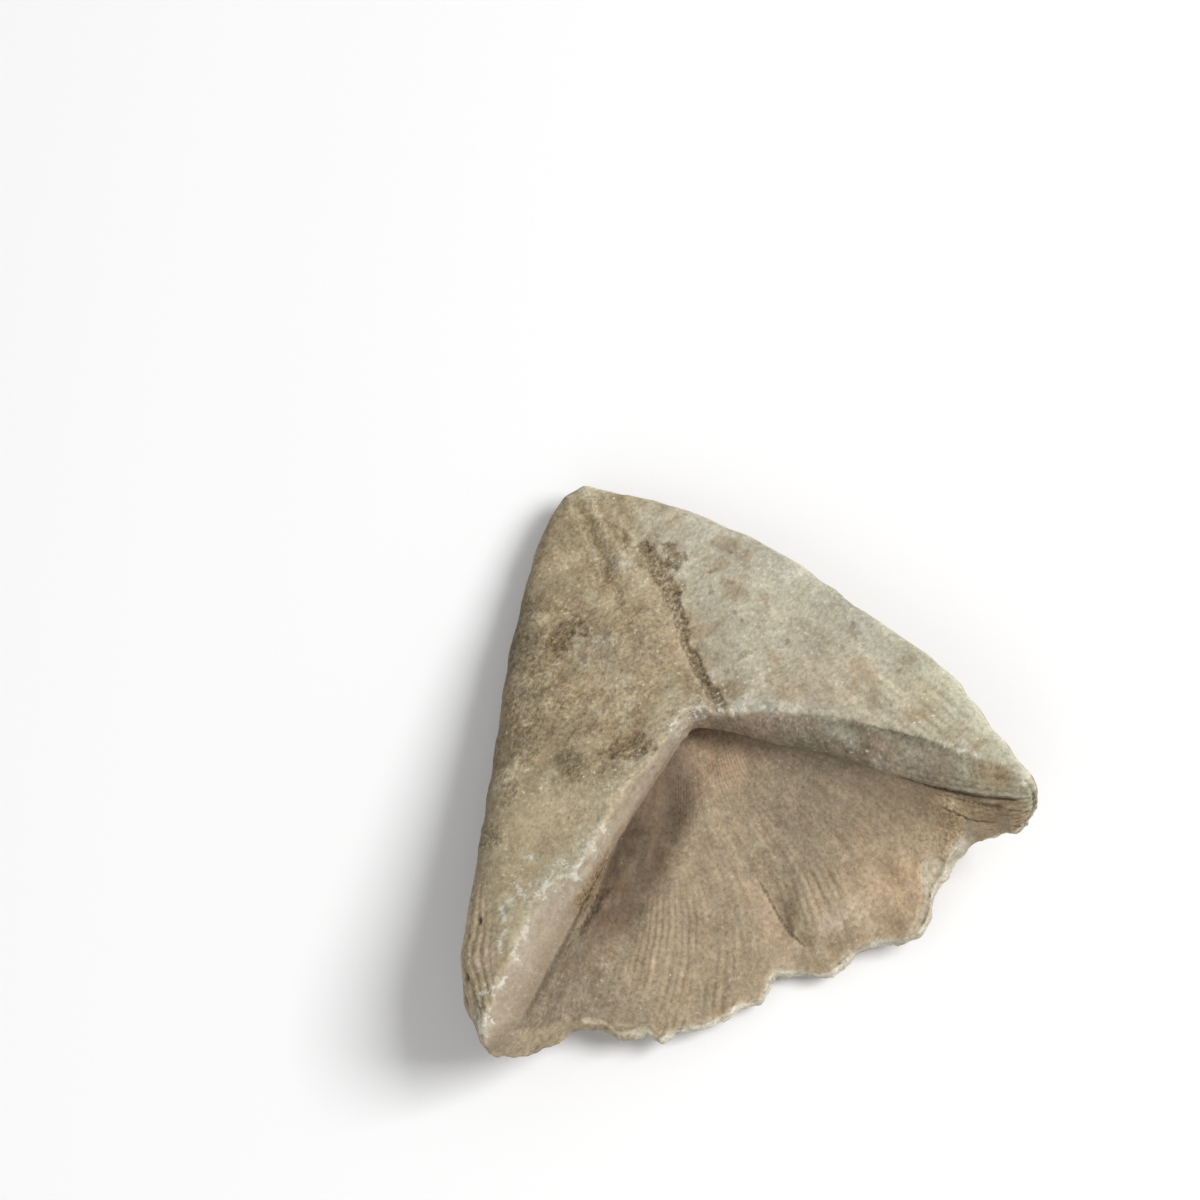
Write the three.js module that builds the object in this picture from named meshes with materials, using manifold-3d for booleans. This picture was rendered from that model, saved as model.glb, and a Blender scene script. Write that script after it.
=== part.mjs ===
// Slipper coral fossil: one horn-shaped limestone skeleton, lying on its arched side with its
// flat side up. Units are millimetres.
//
// The form is worked out in the shell's own frame: x runs along the hinge line, y from the
// hinge line to the apex, z straight out of the flat side. `s` is the distance from the apex
// towards the mouth, so y = LENGTH - s. The finished form is then tipped onto its belly.
import * as THREE from 'three';
import manifoldModule from 'manifold-3d';

const kernel = await manifoldModule();
kernel.setup();

// Driving dimensions
const LENGTH = 48.4;
const HALF_HINGE = 26;
const APEX_DEPTH = 2.6;
const APEX_TIP = { x: 0.4, beyond: 0.5, z: -1.2 };
const MOUTH_DEPTH = 15;
const BELLY_POWER = 1.5;
const ARCH_POWER = 2.2;
const WALL_AT_MARGIN = 0.95;
const REST_TILT = THREE.MathUtils.degToRad(14.5);

// Flat side: a low roof along the median, rounded over at both edges, and its relief. The chips
// along its edges are two waves, each with its height, its radians per millimetre and the way its
// start is shifted from edge to edge.
const MEDIAN_X = 4.3;
const LEFT_FALL = 1.6;
const RIGHT_FALL = 0.5;
const LEFT_ROUND = { reach: 4, drop: 2.2 };
const RIGHT_ROUND = { reach: 1.6, drop: 1.2 };
const ROUND_GROWS_OVER = 9;
const EDGE_CHIPS = [{ height: 0.16, rate: 1.45, shift: 1 }, { height: 0.1, rate: 3.1, shift: -1 }];
const FLAT_SWELL = 0.22;
const FURROW = { depth: 0.38, width: 0.9, sway: 0.4, from: 17, to: 42 };
const SIDE_FURROW = { x: -0.1, depth: 0.3, width: 0.8, from: 28, to: 46 };
const APEX_RIB = { x: 2, height: 0.25, width: 0.8, from: 34, to: 47 };
const FURROWS_FADE_OVER = 5;
const APEX_RIDGE = { height: 0.3, width: 0.9, y: 47.4, lean: 0.9 };
const PITS = [
  { x: 4.4, y: 36.5, reach: 1.1, depth: 0.35 },
  { x: 6.6, y: 35, reach: 1.2, depth: 0.3 },
  { x: -4.6, y: 21.2, reach: 2.2, depth: 0.35 },
  { x: -5.4, y: 34.4, reach: 1.3, depth: 0.25 },
];

// Arched side: growth rings, knobs and swells, and the belly that is rubbed flat
const RING_SPACING = 4.2;
const RING_HEIGHT = 0.34;
const KNOB_HEIGHT = 0.2;
const ARCH_SWELL = 0.3;
const WORN = { x: 1, s: 26.5, halfWidth: 6, halfLength: 11, depth: 0.3 };

// Calice
const POCKET_END = 19.5;
const POCKET_CLOSES_OVER = 5;
const POCKET_POLE = { x: 3.6, z: -4.5 };
const VERTEX_X = 1.7;
const LIP = 0.35;
const ROLL_OVER = { from: -1, to: 6, angle: THREE.MathUtils.degToRad(72) };
const LID_ENDS_FROM = 41;
const LID_ENDS_AT = 45;
const FLOOR_POWER = { left: 3, right: 1.25 };
const FLOOR_EVENS_OUT = { from: 30, to: 47 };
const WALL_BLEND = 0.25;
const FLOOR_SWELL = 0.12;
const TROUGH = { depth: 1.2, width: 2.5 };
const BANK = { rise: 0.35, width: 5, fades: 11 };
const RIDGE = { rise: 0.45, width: 1.3, x: -0.1, y: 8.4, lean: 0.17 };
const FOLD = { depth: 0.7, width: 0.8 };
const LOBE = { rise: 0.6, width: 1.6, fades: 13 };

// How far the uncut forms run on past the mouth, and the cuts past what they cut
const RUN_ON = 2;
const CLEARANCE = 1;

// Mesh resolution
const FLAT_COLUMNS = 38;
const ARCH_COLUMNS = 60;
const OUTER_ROWS = 28;
const OUTER_ROWS_CROWD = 1.15;
const FLOOR_COLUMNS = 40;
const LID_COLUMNS = 16;
const CALICE_ROWS = 24;
const BEVEL_COLUMNS = 60;
const BEVEL_ROWS = 4;
const FOOT_STEPS = 30;
const SLIVER = 0.01;

const { clamp, lerp, smoothstep } = THREE.MathUtils;

// Smooth curve through [x, y] points; each slope comes from the two neighbouring points.
function curve(points) {
  const last = points.length - 1;
  const slope = (i) => {
    const before = points[Math.max(i - 1, 0)];
    const after = points[Math.min(i + 1, last)];
    return (after[1] - before[1]) / (after[0] - before[0]);
  };
  return (x) => {
    let i = 0;
    while (i < last - 1 && x > points[i + 1][0]) i += 1;
    const [x0, y0] = points[i];
    const [x1, y1] = points[i + 1];
    const span = x1 - x0;
    const t = clamp((x - x0) / span, 0, 1);
    const t2 = t * t;
    const t3 = t2 * t;
    return (2 * t3 - 3 * t2 + 1) * y0 + (t3 - 2 * t2 + t) * span * slope(i)
      + (3 * t2 - 2 * t3) * y1 + (t3 - t2) * span * slope(i + 1);
  };
}

// 1 at no distance, falling to 0 like a bell
function bump(distance, width) {
  return Math.exp(-((distance / width) ** 2));
}

// 1 between two values, falling to 0 at both over a given reach
function within(value, from, to, reach) {
  return smoothstep(value, from, from + reach) * (1 - smoothstep(value, to - reach, to));
}

// Smooth curve with the small chips of a worn edge; `start` sets where they fall
function chipped(points, start) {
  const smooth = curve(points);
  return (s) => {
    let chips = 0;
    for (const { height, rate, shift } of EDGE_CHIPS) {
      chips += height * Math.sin(rate * s + shift * start);
    }
    return smooth(s) + chips * within(s, 1, LENGTH, 4);
  };
}

// Edges of the flat side, as x over s
const leftEdge = chipped([
  [0, -0.8], [1, -2.4], [3, -4.5], [5.5, -6.6], [9, -9.1], [17, -13.7], [27, -19.1],
  [34, -22.8], [40, -25.6], [44, -26.4], [LENGTH, -HALF_HINGE],
], 0.4);
const rightEdge = chipped([
  [0, 1.5], [1, 2.8], [3, 5.2], [6, 8.6], [9.5, 11.4], [13, 13.9], [19, 17.2], [24, 19.6],
  [31, 23.0], [34, 24.0], [40, 24.9], [LENGTH, HALF_HINGE],
], 2.6);

// The V of the broken rim, as y over x: the upper edge of its bevel and the lower one
const BEVEL_TOP_ENDS = [-26.2, 26.2];
const BEVEL_FOOT_ENDS = [-24.6, 25];
const bevelTop = curve([
  [-26.2, 1.8], [-23.7, 4.7], [-20.2, 7.8], [-17.9, 10.2], [-15.9, 11.6], [-13.4, 11.6],
  [-10.5, 13.6], [-7.3, 16.5], [-4.4, 18.0], [-1, 20.1], [0.9, 21.3], [1.9, 21.5], [2.8, 21.1],
  [4.4, 20.2], [8.6, 18.0], [12.4, 15.5], [16.2, 12.1], [19.3, 9.3], [22, 6.1], [26.2, 1.2],
]);
const bevelFoot = curve([
  [-24.6, 0.8], [-20.6, 4.0], [-17, 7.1], [-14.9, 8.9], [-11.8, 11.8], [-7, 15.6], [-4.5, 17.3],
  [-1.2, 19.7], [0.6, 20.9], [1.7, 21.2], [2.6, 20.7], [4.2, 19.4], [6.9, 17.0], [9.8, 14.6],
  [12.3, 12.0], [16, 8.4], [20.3, 4.4], [25, 1.3],
]);
const bevelFootDepth = curve([[-24.6, 4.7], [-14, 3.8], [-6, 3.1], [1.7, 2.6], [12, 3.0], [25, 3.1]]);

// Margin of the arched wall, as [x, y], with its chips and teeth
const MARGIN_POINTS = [
  [-25.6, 1.4], [-23.6, 1.7], [-20.7, 2.7], [-19.2, 3.4], [-16.4, 2.9], [-15.6, 1.7],
  [-13.2, 1.4], [-12.4, -0.1], [-10.9, 0.3], [-7.9, -0.2], [-5, 0.35], [-3, 0], [-1.9, 0.9],
  [-0.9, 1.9], [1.4, 0.8], [2.4, 0], [3.6, -0.4], [6.5, 0.5], [8.7, 0.2], [10.4, -0.8],
  [12.1, -0.9], [13.6, 0.1], [14.6, 1.8], [16.1, 2.4], [17.5, 3.3], [19.6, 3.4], [22, 2.6],
  [23.2, 1.5], [25.7, 1.1],
];

// Calice: its left and right limit under the lid as x over s, the depth of the crease that
// runs along each limit, the lines of the trough and the fold as x over y, and the depth of the
// floor
const caliceLeft = curve([
  [POCKET_END, 1.5], [21, -1.2], [25, -3.6], [28.5, -4.8], [31, -6.8], [34, -10.0], [37, -12.7],
  [40, -15.4], [43.3, -18.7], [46, -22.2], [LENGTH, -24.8],
]);
const caliceRight = curve([
  [POCKET_END, 5.2], [21, 7.2], [25, 8.4], [28.5, 8.0], [31, 8.6], [34, 10.9], [37, 14.0],
  [40, 16.6], [43, 18.2], [46, 19.8], [LENGTH, 20.8],
]);
const leftCreaseDepth = curve([[POCKET_END, 4.4], [28, 3.9], [36, 4.4], [43, 4.9], [LENGTH, 5.4]]);
const rightCreaseDepth = curve([
  [POCKET_END, 4.4], [28, 3.7], [38, 3.8], [41.5, 4.2], [44.5, 6.0], [LENGTH, 7.6],
]);
const troughX = curve([[3, -18.6], [7, -14.6], [10, -11.6], [14, -7.9], [17, -4.5], [20, -1.8]]);
const foldX = curve([[1.5, 3.1], [3, 2.7], [4.5, 2], [6.8, 1.7], [8.8, 1.5], [10.5, 1.1], [12, 0.6]]);
const caliceDepth = curve([
  [POCKET_END, 4.8], [25, 5.2], [28.5, 6.0], [34, 8.4], [40, 11.3], [45, 13.4], [LENGTH, 14.1],
]);

// Slow irregular swell between -1 and 1, the same everywhere it is asked for
function swell(x, y, z) {
  const a = Math.sin(0.43 * x + 1.7 * Math.sin(0.21 * y + 0.9) + 0.31 * z);
  const b = Math.sin(0.37 * y - 1.3 * Math.sin(0.29 * x - 0.4) - 0.47 * z);
  const c = Math.sin(0.83 * x - 0.71 * y + 0.9 * z + 1.1);
  return (a + b + 0.6 * c) / 2.6;
}

function depthAt(s) {
  return APEX_DEPTH + (MOUTH_DEPTH - APEX_DEPTH) * (1 - (1 - clamp(s / LENGTH, 0, 1)) ** BELLY_POWER);
}

// Height of the flat side without its relief: a low roof along the median, rounded at both edges
function flatHeight(x, s) {
  const left = leftEdge(s);
  const right = rightEdge(s);
  const fall = x < MEDIAN_X
    ? LEFT_FALL * ((MEDIAN_X - x) / (MEDIAN_X + HALF_HINGE)) ** 2
    : RIGHT_FALL * ((x - MEDIAN_X) / (HALF_HINGE - MEDIAN_X)) ** 2;
  const grown = smoothstep(s, -ROUND_GROWS_OVER / 2, ROUND_GROWS_OVER);
  const rounded = ({ reach, drop }, inset) => {
    const lack = clamp(1 - inset / (reach * grown), 0, 1);
    return drop * grown * (1 - Math.sqrt(1 - lack * lack));
  };
  return -fall - rounded(LEFT_ROUND, x - left) - rounded(RIGHT_ROUND, right - x);
}

// Relief of the flat side: the two furrows with the rib between them, the worn pits, the ridge
// across the apex and the swells of the weathered surface
function flatRelief(x, y) {
  const along = ({ from, to }) => within(y, from, to, FURROWS_FADE_OVER);
  const sway = FURROW.sway * Math.sin(y / 3);
  const furrow = FURROW.depth * bump(x - MEDIAN_X - sway, FURROW.width) * along(FURROW);
  const side = SIDE_FURROW.depth * bump(x - SIDE_FURROW.x, SIDE_FURROW.width) * along(SIDE_FURROW);
  const rib = APEX_RIB.height * bump(x - APEX_RIB.x, APEX_RIB.width) * along(APEX_RIB);
  const ridge = APEX_RIDGE.height * bump(y - APEX_RIDGE.y + APEX_RIDGE.lean * x, APEX_RIDGE.width);
  let pitted = 0;
  for (const pit of PITS) pitted += pit.depth * bump(Math.hypot(x - pit.x, y - pit.y), pit.reach);
  return FLAT_SWELL * swell(x * 1.3, y * 1.2, 3) + rib + ridge - furrow - side - pitted;
}

// Relief of the arched side: growth rings that follow the mouth, broken up by low knobs, and
// rubbed away where the belly is worn flat
function archRelief(x, s, z) {
  const ring = Math.sin(2 * Math.PI * (s / RING_SPACING + 0.12 * swell(0.5 * x, 0.6 * s, z)));
  const knobs = Math.sin(1.1 * x + 2 * swell(x, s, 1)) * Math.sin(1.2 * s + 2 * swell(s, x, 2));
  const worn = bump(Math.hypot((x - WORN.x) / WORN.halfWidth, (s - WORN.s) / WORN.halfLength), 1);
  const relief = RING_HEIGHT * ring + KNOB_HEIGHT * knobs + ARCH_SWELL * swell(0.8 * x, 0.8 * s, z);
  return within(s, 2, LENGTH, 6) * (1 - worn) * relief;
}

// Point of the flat side; `across` runs from -1 at the left edge to 1 at the right one
function flatPoint(across, s) {
  const x = lerp(leftEdge(s), rightEdge(s), (across + 1) / 2);
  const y = LENGTH - s;
  const inside = smoothstep(1 - Math.abs(across), 0, 0.25) * smoothstep(s, 0, 5);
  return new THREE.Vector3(x, y, flatHeight(x, s) + inside * flatRelief(x, y));
}

// Point of the arched side; `angle` runs from 0 at the right edge to PI at the left one
function archPoint(angle, s) {
  const left = leftEdge(s);
  const right = rightEdge(s);
  const cosine = Math.cos(angle);
  const side = Math.sign(cosine) * Math.abs(cosine) ** (2 / ARCH_POWER);
  const down = Math.sin(angle) ** (2 / ARCH_POWER);
  const top = lerp(flatHeight(left, s), flatHeight(right, s), (1 + cosine) / 2);
  const x = lerp(left, right, (side + 1) / 2);
  const z = top - (depthAt(s) + top) * down;
  const relief = archRelief(x, s, z) * Math.sin(angle);
  const normal = new THREE.Vector2(side * depthAt(s), -down * (right - left) / 2).normalize();
  return new THREE.Vector3(x + relief * normal.x, LENGTH - s, z + relief * normal.y);
}

// Lowest height that the calice floor may have before the arched wall gets too thin
function wallLimit(x, s) {
  const left = leftEdge(s) + WALL_AT_MARGIN;
  const right = rightEdge(s) - WALL_AT_MARGIN;
  const side = clamp((2 * x - left - right) / (right - left), -1, 1);
  const top = lerp(flatHeight(left, s), flatHeight(right, s), (side + 1) / 2);
  const depth = depthAt(s) - WALL_AT_MARGIN;
  return top - (depth + top) * (1 - Math.abs(side) ** ARCH_POWER) ** (1 / ARCH_POWER);
}

// Relief of the calice floor: the trough along the left arm of the V and the bank beside it, the
// low median ridge, and the fold behind which the right half of the floor stands higher
function floorRelief(x, y, side) {
  const forward = within(y, 1, 23, 5);
  const fromTrough = x - troughX(y);
  const trough = TROUGH.depth * bump(fromTrough, TROUGH.width) * forward;
  const bank = BANK.rise * forward * smoothstep(fromTrough, 0, BANK.width)
    * (1 - smoothstep(fromTrough, BANK.width, BANK.fades));
  const fromRidge = x - RIDGE.x - RIDGE.lean * (y - RIDGE.y);
  const ridge = RIDGE.rise * bump(fromRidge, RIDGE.width) * (1 - smoothstep(y, 11, 16));
  const folded = within(y, 1, 13, 3.5);
  const fromFold = x - foldX(y);
  const fold = FOLD.depth * bump(fromFold, FOLD.width) * folded;
  const lobe = LOBE.rise * folded * smoothstep(fromFold, 0, LOBE.width)
    * (1 - smoothstep(fromFold, 5, LOBE.fades));
  const swells = FLOOR_SWELL * swell(1.4 * x, 1.2 * y, 7);
  return (1 - side ** 4) * (ridge + bank + lobe + swells - trough - fold);
}

// x of the foot of the V's bevel at y, on the left (-1) or right (1) arm, found by halving
function lipX(y, arm) {
  let outer = arm * HALF_HINGE;
  let inner = VERTEX_X;
  for (let step = 0; step < FOOT_STEPS; step += 1) {
    const x = (outer + inner) / 2;
    if (bevelFoot(x) < y) outer = x;
    else inner = x;
  }
  return bevelFoot(VERTEX_X) > y ? inner : VERTEX_X;
}

// Ring round the calice at s: along the floor from the left crease to the right one, and back
// under the lid, which rises from either crease to the lip of the V
function caliceRing(s) {
  const y = LENGTH - s;
  const closing = clamp((s - POCKET_END) / POCKET_CLOSES_OVER, 0, 1);
  const open = Math.sqrt(1 - (1 - closing) ** 2);
  const opened = (x, z) => [lerp(POCKET_POLE.x, x, open), lerp(POCKET_POLE.z, z, open)];
  const [leftX, leftZ] = opened(caliceLeft(s), -leftCreaseDepth(s));
  const [rightX, rightZ] = opened(caliceRight(s), -rightCreaseDepth(s));
  const forward = smoothstep(s, FLOOR_EVENS_OUT.from, FLOOR_EVENS_OUT.to);

  const floor = (t) => {
    const angle = (1 - t) * Math.PI;
    const side = Math.sign(Math.cos(angle)) * Math.abs(Math.cos(angle)) ** (2 / ARCH_POWER);
    const power = side > 0
      ? lerp(FLOOR_POWER.right, ARCH_POWER, forward ** 2)
      : lerp(FLOOR_POWER.left, ARCH_POWER, forward);
    const down = (1 - Math.abs(side) ** power) ** (1 / power);
    const x = lerp(leftX, rightX, (side + 1) / 2);
    const crease = lerp(leftZ, rightZ, (side + 1) / 2);
    const sunk = crease + open * (floorRelief(x, y, side) - (caliceDepth(s) + crease) * down);
    const limit = wallLimit(x, s);
    return new THREE.Vector3(x, y, (sunk + limit + Math.hypot(sunk - limit, WALL_BLEND)) / 2);
  };
  const lid = (t) => {
    const arm = t < 0.5 ? 1 : -1;
    const [creaseX, creaseZ] = arm > 0 ? [rightX, rightZ] : [leftX, leftZ];
    const footX = lipX(y, arm);
    const [x, z] = opened(footX, -bevelFootDepth(footX) - LIP);
    const towards = 1 - Math.abs(2 * t - 1);
    const rise = towards ** lerp(0.5, 1, smoothstep(s, LID_ENDS_FROM, LID_ENDS_AT));
    return new THREE.Vector3(lerp(creaseX, x, towards), y, lerp(creaseZ, z, rise));
  };
  const ring = [];
  for (let i = 0; i < FLOOR_COLUMNS; i += 1) ring.push(floor(i / FLOOR_COLUMNS));
  for (let i = 0; i < LID_COLUMNS; i += 1) ring.push(lid(i / LID_COLUMNS));
  return ring;
}

// Ring round the outside at s: across the flat side from left to right, and back under the arch
function outerRing(s) {
  const ring = [];
  for (let i = 0; i < FLAT_COLUMNS; i += 1) {
    ring.push(flatPoint(Math.sin((i / FLAT_COLUMNS - 0.5) * Math.PI), s));
  }
  for (let i = 0; i < ARCH_COLUMNS; i += 1) ring.push(archPoint((i / ARCH_COLUMNS) * Math.PI, s));
  return ring;
}

// Rings of the V-shaped breach, from under the lip to above the flat side. The bevel is plane
// on the left arm of the V and rolls over into the flat side on the right arm.
function breachRings() {
  const rings = Array.from({ length: BEVEL_ROWS + 3 }, () => []);
  const columns = BEVEL_COLUMNS + 2;
  for (let i = 0; i <= columns; i += 1) {
    const t = clamp((i - 1) / BEVEL_COLUMNS, 0, 1);
    const footX = lerp(...BEVEL_FOOT_ENDS, t);
    const topX = lerp(...BEVEL_TOP_ENDS, t);
    const behind = i === 0 || i === columns;
    const footY = behind ? -RUN_ON - CLEARANCE : bevelFoot(footX);
    const topY = behind ? -RUN_ON - CLEARANCE : bevelTop(topX);
    const foot = new THREE.Vector3(footX, footY, -bevelFootDepth(footX));
    const top = new THREE.Vector3(topX, topY, flatHeight(topX, LENGTH - topY));
    const rolled = smoothstep(footX, ROLL_OVER.from, ROLL_OVER.to);
    const bevel = (u) => {
      const turned = u * ROLL_OVER.angle;
      const outwards = (1 - Math.cos(turned)) / (1 - Math.cos(ROLL_OVER.angle));
      const upwards = Math.sin(turned) / Math.sin(ROLL_OVER.angle);
      const point = foot.clone().lerp(top, lerp(u, outwards, rolled));
      return point.setZ(lerp(foot.z, top.z, lerp(u, upwards, rolled)));
    };
    rings[0].push(foot.clone().setZ(foot.z - 3 * LIP));
    for (let j = 0; j <= BEVEL_ROWS; j += 1) rings[j + 1].push(bevel(j / BEVEL_ROWS));
    rings[BEVEL_ROWS + 2].push(foot.clone().lerp(top, lerp(1.5, 2, rolled)).setZ(RUN_ON));
  }
  return rings;
}

// Closed solid through rings of equally many points that run clockwise as seen along the stack
function loft(rings) {
  const count = rings[0].length;
  const points = rings.flat();
  const faces = [];
  const last = (rings.length - 1) * count;
  for (let start = 0; start < last; start += count) {
    for (let i = 0; i < count; i += 1) {
      const next = (i + 1) % count;
      faces.push(start + i, start + count + i, start + count + next);
      faces.push(start + i, start + count + next, start + next);
    }
  }
  return { points, faces, count, last };
}

function solidFrom(points, faces) {
  return new kernel.Manifold(new kernel.Mesh({
    numProp: 3,
    vertProperties: new Float32Array(points.flatMap((point) => point.toArray())),
    triVerts: new Uint32Array(faces),
  }));
}

// Solid through rings, closed by a fan at either end
function fannedSolid(rings, nearTip, farTip) {
  const { points, faces, count, last } = loft(rings);
  const near = points.push(nearTip) - 1;
  const far = points.push(farTip) - 1;
  for (let i = 0; i < count; i += 1) {
    const next = (i + 1) % count;
    faces.push(near, i, next, far, last + next, last + i);
  }
  return solidFrom(points, faces);
}

// Solid through flat-lying rings of any outline, closed at either end by a plain face
function facedSolid(rings) {
  const { points, faces, last } = loft(rings);
  const facing = (ring) => THREE.ShapeUtils.triangulateShape(
    ring.map(({ x, y }) => new THREE.Vector2(x, y)), [],
  );
  for (const [a, b, c] of facing(rings[0])) faces.push(a, c, b);
  for (const [a, b, c] of facing(rings.at(-1))) faces.push(last + a, last + b, last + c);
  return solidFrom(points, faces);
}

// The cut away space in front of the broken margin
function beyondMargin() {
  const [first, last] = [MARGIN_POINTS[0], MARGIN_POINTS.at(-1)];
  const outline = [
    [-HALF_HINGE - RUN_ON, first[1]], ...MARGIN_POINTS, [HALF_HINGE + RUN_ON, last[1]],
    [HALF_HINGE + RUN_ON, -2 * RUN_ON], [-HALF_HINGE - RUN_ON, -2 * RUN_ON],
  ];
  return facedSolid([-MOUTH_DEPTH - RUN_ON, RUN_ON].map((z) => (
    outline.map(([x, y]) => new THREE.Vector3(x, y, z))
  )));
}

function skeletonSolid() {
  const outside = [];
  for (let j = 0; j <= OUTER_ROWS; j += 1) {
    outside.push(outerRing((LENGTH + RUN_ON) * (j / OUTER_ROWS) ** OUTER_ROWS_CROWD));
  }
  const calice = [];
  for (let j = CALICE_ROWS; j >= 1; j -= 1) {
    calice.push(caliceRing(lerp(POCKET_END, LENGTH + RUN_ON + CLEARANCE, j / CALICE_ROWS)));
  }
  const apex = new THREE.Vector3(APEX_TIP.x, LENGTH + APEX_TIP.beyond, APEX_TIP.z);
  const pocketEnd = new THREE.Vector3(POCKET_POLE.x, LENGTH - POCKET_END, POCKET_POLE.z);
  const mouth = (distance) => new THREE.Vector3(0, -distance, -MOUTH_DEPTH / 2);
  return fannedSolid(outside, apex, mouth(RUN_ON))
    .subtract(fannedSolid(calice, mouth(RUN_ON + CLEARANCE), pocketEnd))
    .subtract(facedSolid(breachRings()))
    .subtract(beyondMargin());
}

// The skeleton tipped so that it lies on its belly, which is worn flat where it rests
function skeletonGeometry() {
  const tip = new THREE.Matrix4().makeRotationX(-REST_TILT);
  const belly = new THREE.Vector3(WORN.x, LENGTH - WORN.s, -depthAt(WORN.s)).applyMatrix4(tip);
  const lying = skeletonSolid()
    .transform(tip.elements)
    .trimByPlane([0, 0, 1], belly.z + WORN.depth)
    .simplify(SLIVER);
  const { vertProperties, triVerts } = lying.getMesh();
  const geometry = new THREE.BufferGeometry();
  geometry.setAttribute('position', new THREE.BufferAttribute(vertProperties, 3));
  geometry.setIndex(new THREE.BufferAttribute(triVerts, 1));
  geometry.computeBoundingBox();
  const { min, max } = geometry.boundingBox;
  geometry.translate(-(min.x + max.x) / 2, -(min.y + max.y) / 2, -min.z);
  geometry.computeVertexNormals();
  return geometry;
}

const stone = new THREE.MeshStandardMaterial({ color: 0xa89a7e, roughness: 0.9, metalness: 0 });
const skeleton = new THREE.Mesh(skeletonGeometry(), stone);
skeleton.name = 'slipper_coral';

const fossil = new THREE.Group();
fossil.add(skeleton);

export default fossil;
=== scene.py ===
import math

import bmesh
import bpy
import numpy as np
from mathutils import Matrix, Vector


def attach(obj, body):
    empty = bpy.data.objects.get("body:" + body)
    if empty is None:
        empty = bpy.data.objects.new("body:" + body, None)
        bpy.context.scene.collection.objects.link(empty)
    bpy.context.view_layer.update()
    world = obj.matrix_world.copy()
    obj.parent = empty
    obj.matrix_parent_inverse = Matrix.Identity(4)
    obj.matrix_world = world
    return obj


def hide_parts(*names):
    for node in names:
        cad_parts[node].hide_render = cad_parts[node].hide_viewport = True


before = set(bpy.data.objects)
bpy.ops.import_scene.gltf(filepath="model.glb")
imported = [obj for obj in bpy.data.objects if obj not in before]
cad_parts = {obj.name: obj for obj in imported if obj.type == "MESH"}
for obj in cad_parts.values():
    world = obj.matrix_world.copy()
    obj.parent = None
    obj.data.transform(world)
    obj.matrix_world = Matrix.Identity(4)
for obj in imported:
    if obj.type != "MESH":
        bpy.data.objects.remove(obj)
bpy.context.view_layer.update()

# The fossil's own frame, in millimetres: x along the hinge line, y from the hinge line to the
# apex, z straight out of the flat side. The part lies tipped by TILT, and LENGTH is how far the
# apex is from the hinge line.
TILT = math.radians(14.5)
OFFSET = np.array([-0.283, 24.689, -10.195])
LENGTH = 48.4
MM_PER_METRE = 1000

# The width of the fine copy's voxels, and how many triangles it keeps in the end
VOXEL = 0.2
MOST_TRIANGLES = 190000

# How often the mesh is smoothed: all over, then its directions, then away from the edges
VOXEL_PASSES = 3
FACING_PASSES = 5
FACET_PASSES = 32

# Shape lines of the part: the edges of the flat side (x over distance from the apex), the two
# edges of the V's bevel (y over x), how deep the bevel's foot lies (depth over x), the calice's
# limits (x over distance from the apex), its fold (x over y), the broken margin (y over x), and
# where the layered end of the right arm starts (x over y)
LEFT_EDGE = [(0, -0.8), (1, -2.4), (3, -4.5), (5.5, -6.6), (9, -9.1), (17, -13.7), (27, -19.1),
             (34, -22.8), (40, -25.6), (44, -26.4), (LENGTH, -26)]
RIGHT_EDGE = [(0, 1.5), (1, 2.8), (3, 5.2), (6, 8.6), (9.5, 11.4), (13, 13.9), (19, 17.2),
              (24, 19.6), (31, 23.0), (34, 24.0), (40, 24.9), (LENGTH, 26)]
BEVEL_TOP = [(-26.2, 1.8), (-23.7, 4.7), (-20.2, 7.8), (-17.9, 10.2), (-15.9, 11.6),
             (-13.4, 11.6), (-10.5, 13.6), (-7.3, 16.5), (-4.4, 18.0), (-1, 20.1), (0.9, 21.3),
             (1.9, 21.5), (2.8, 21.1), (4.4, 20.2), (8.6, 18.0), (12.4, 15.5), (16.2, 12.1),
             (19.3, 9.3), (22, 6.1), (26.2, 1.2)]
BEVEL_FOOT = [(-24.6, 0.8), (-20.6, 4.0), (-17, 7.1), (-14.9, 8.9), (-11.8, 11.8), (-7, 15.6),
              (-4.5, 17.3), (-1.2, 19.7), (0.6, 20.9), (1.7, 21.2), (2.6, 20.7), (4.2, 19.4),
              (6.9, 17.0), (9.8, 14.6), (12.3, 12.0), (16, 8.4), (20.3, 4.4), (25, 1.3)]
FOOT_DEPTH = [(-24.6, 4.7), (-14, 3.8), (-6, 3.1), (1.7, 2.6), (12, 3.0), (25, 3.1)]
CALICE_LEFT = [(19.5, 1.5), (21, -1.2), (25, -3.6), (28.5, -4.8), (31, -6.8), (34, -10.0),
               (37, -12.7), (40, -15.4), (43.3, -18.7), (46, -22.2), (LENGTH, -24.8)]
CALICE_RIGHT = [(19.5, 5.2), (21, 7.2), (25, 8.4), (28.5, 8.0), (31, 8.6), (34, 10.9), (37, 14.0),
                (40, 16.6), (43, 18.2), (46, 19.8), (LENGTH, 20.8)]
FOLD = [(1.5, 3.1), (3, 2.7), (4.5, 2), (6.8, 1.7), (8.8, 1.5), (10.5, 1.1), (12, 0.6)]
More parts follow.
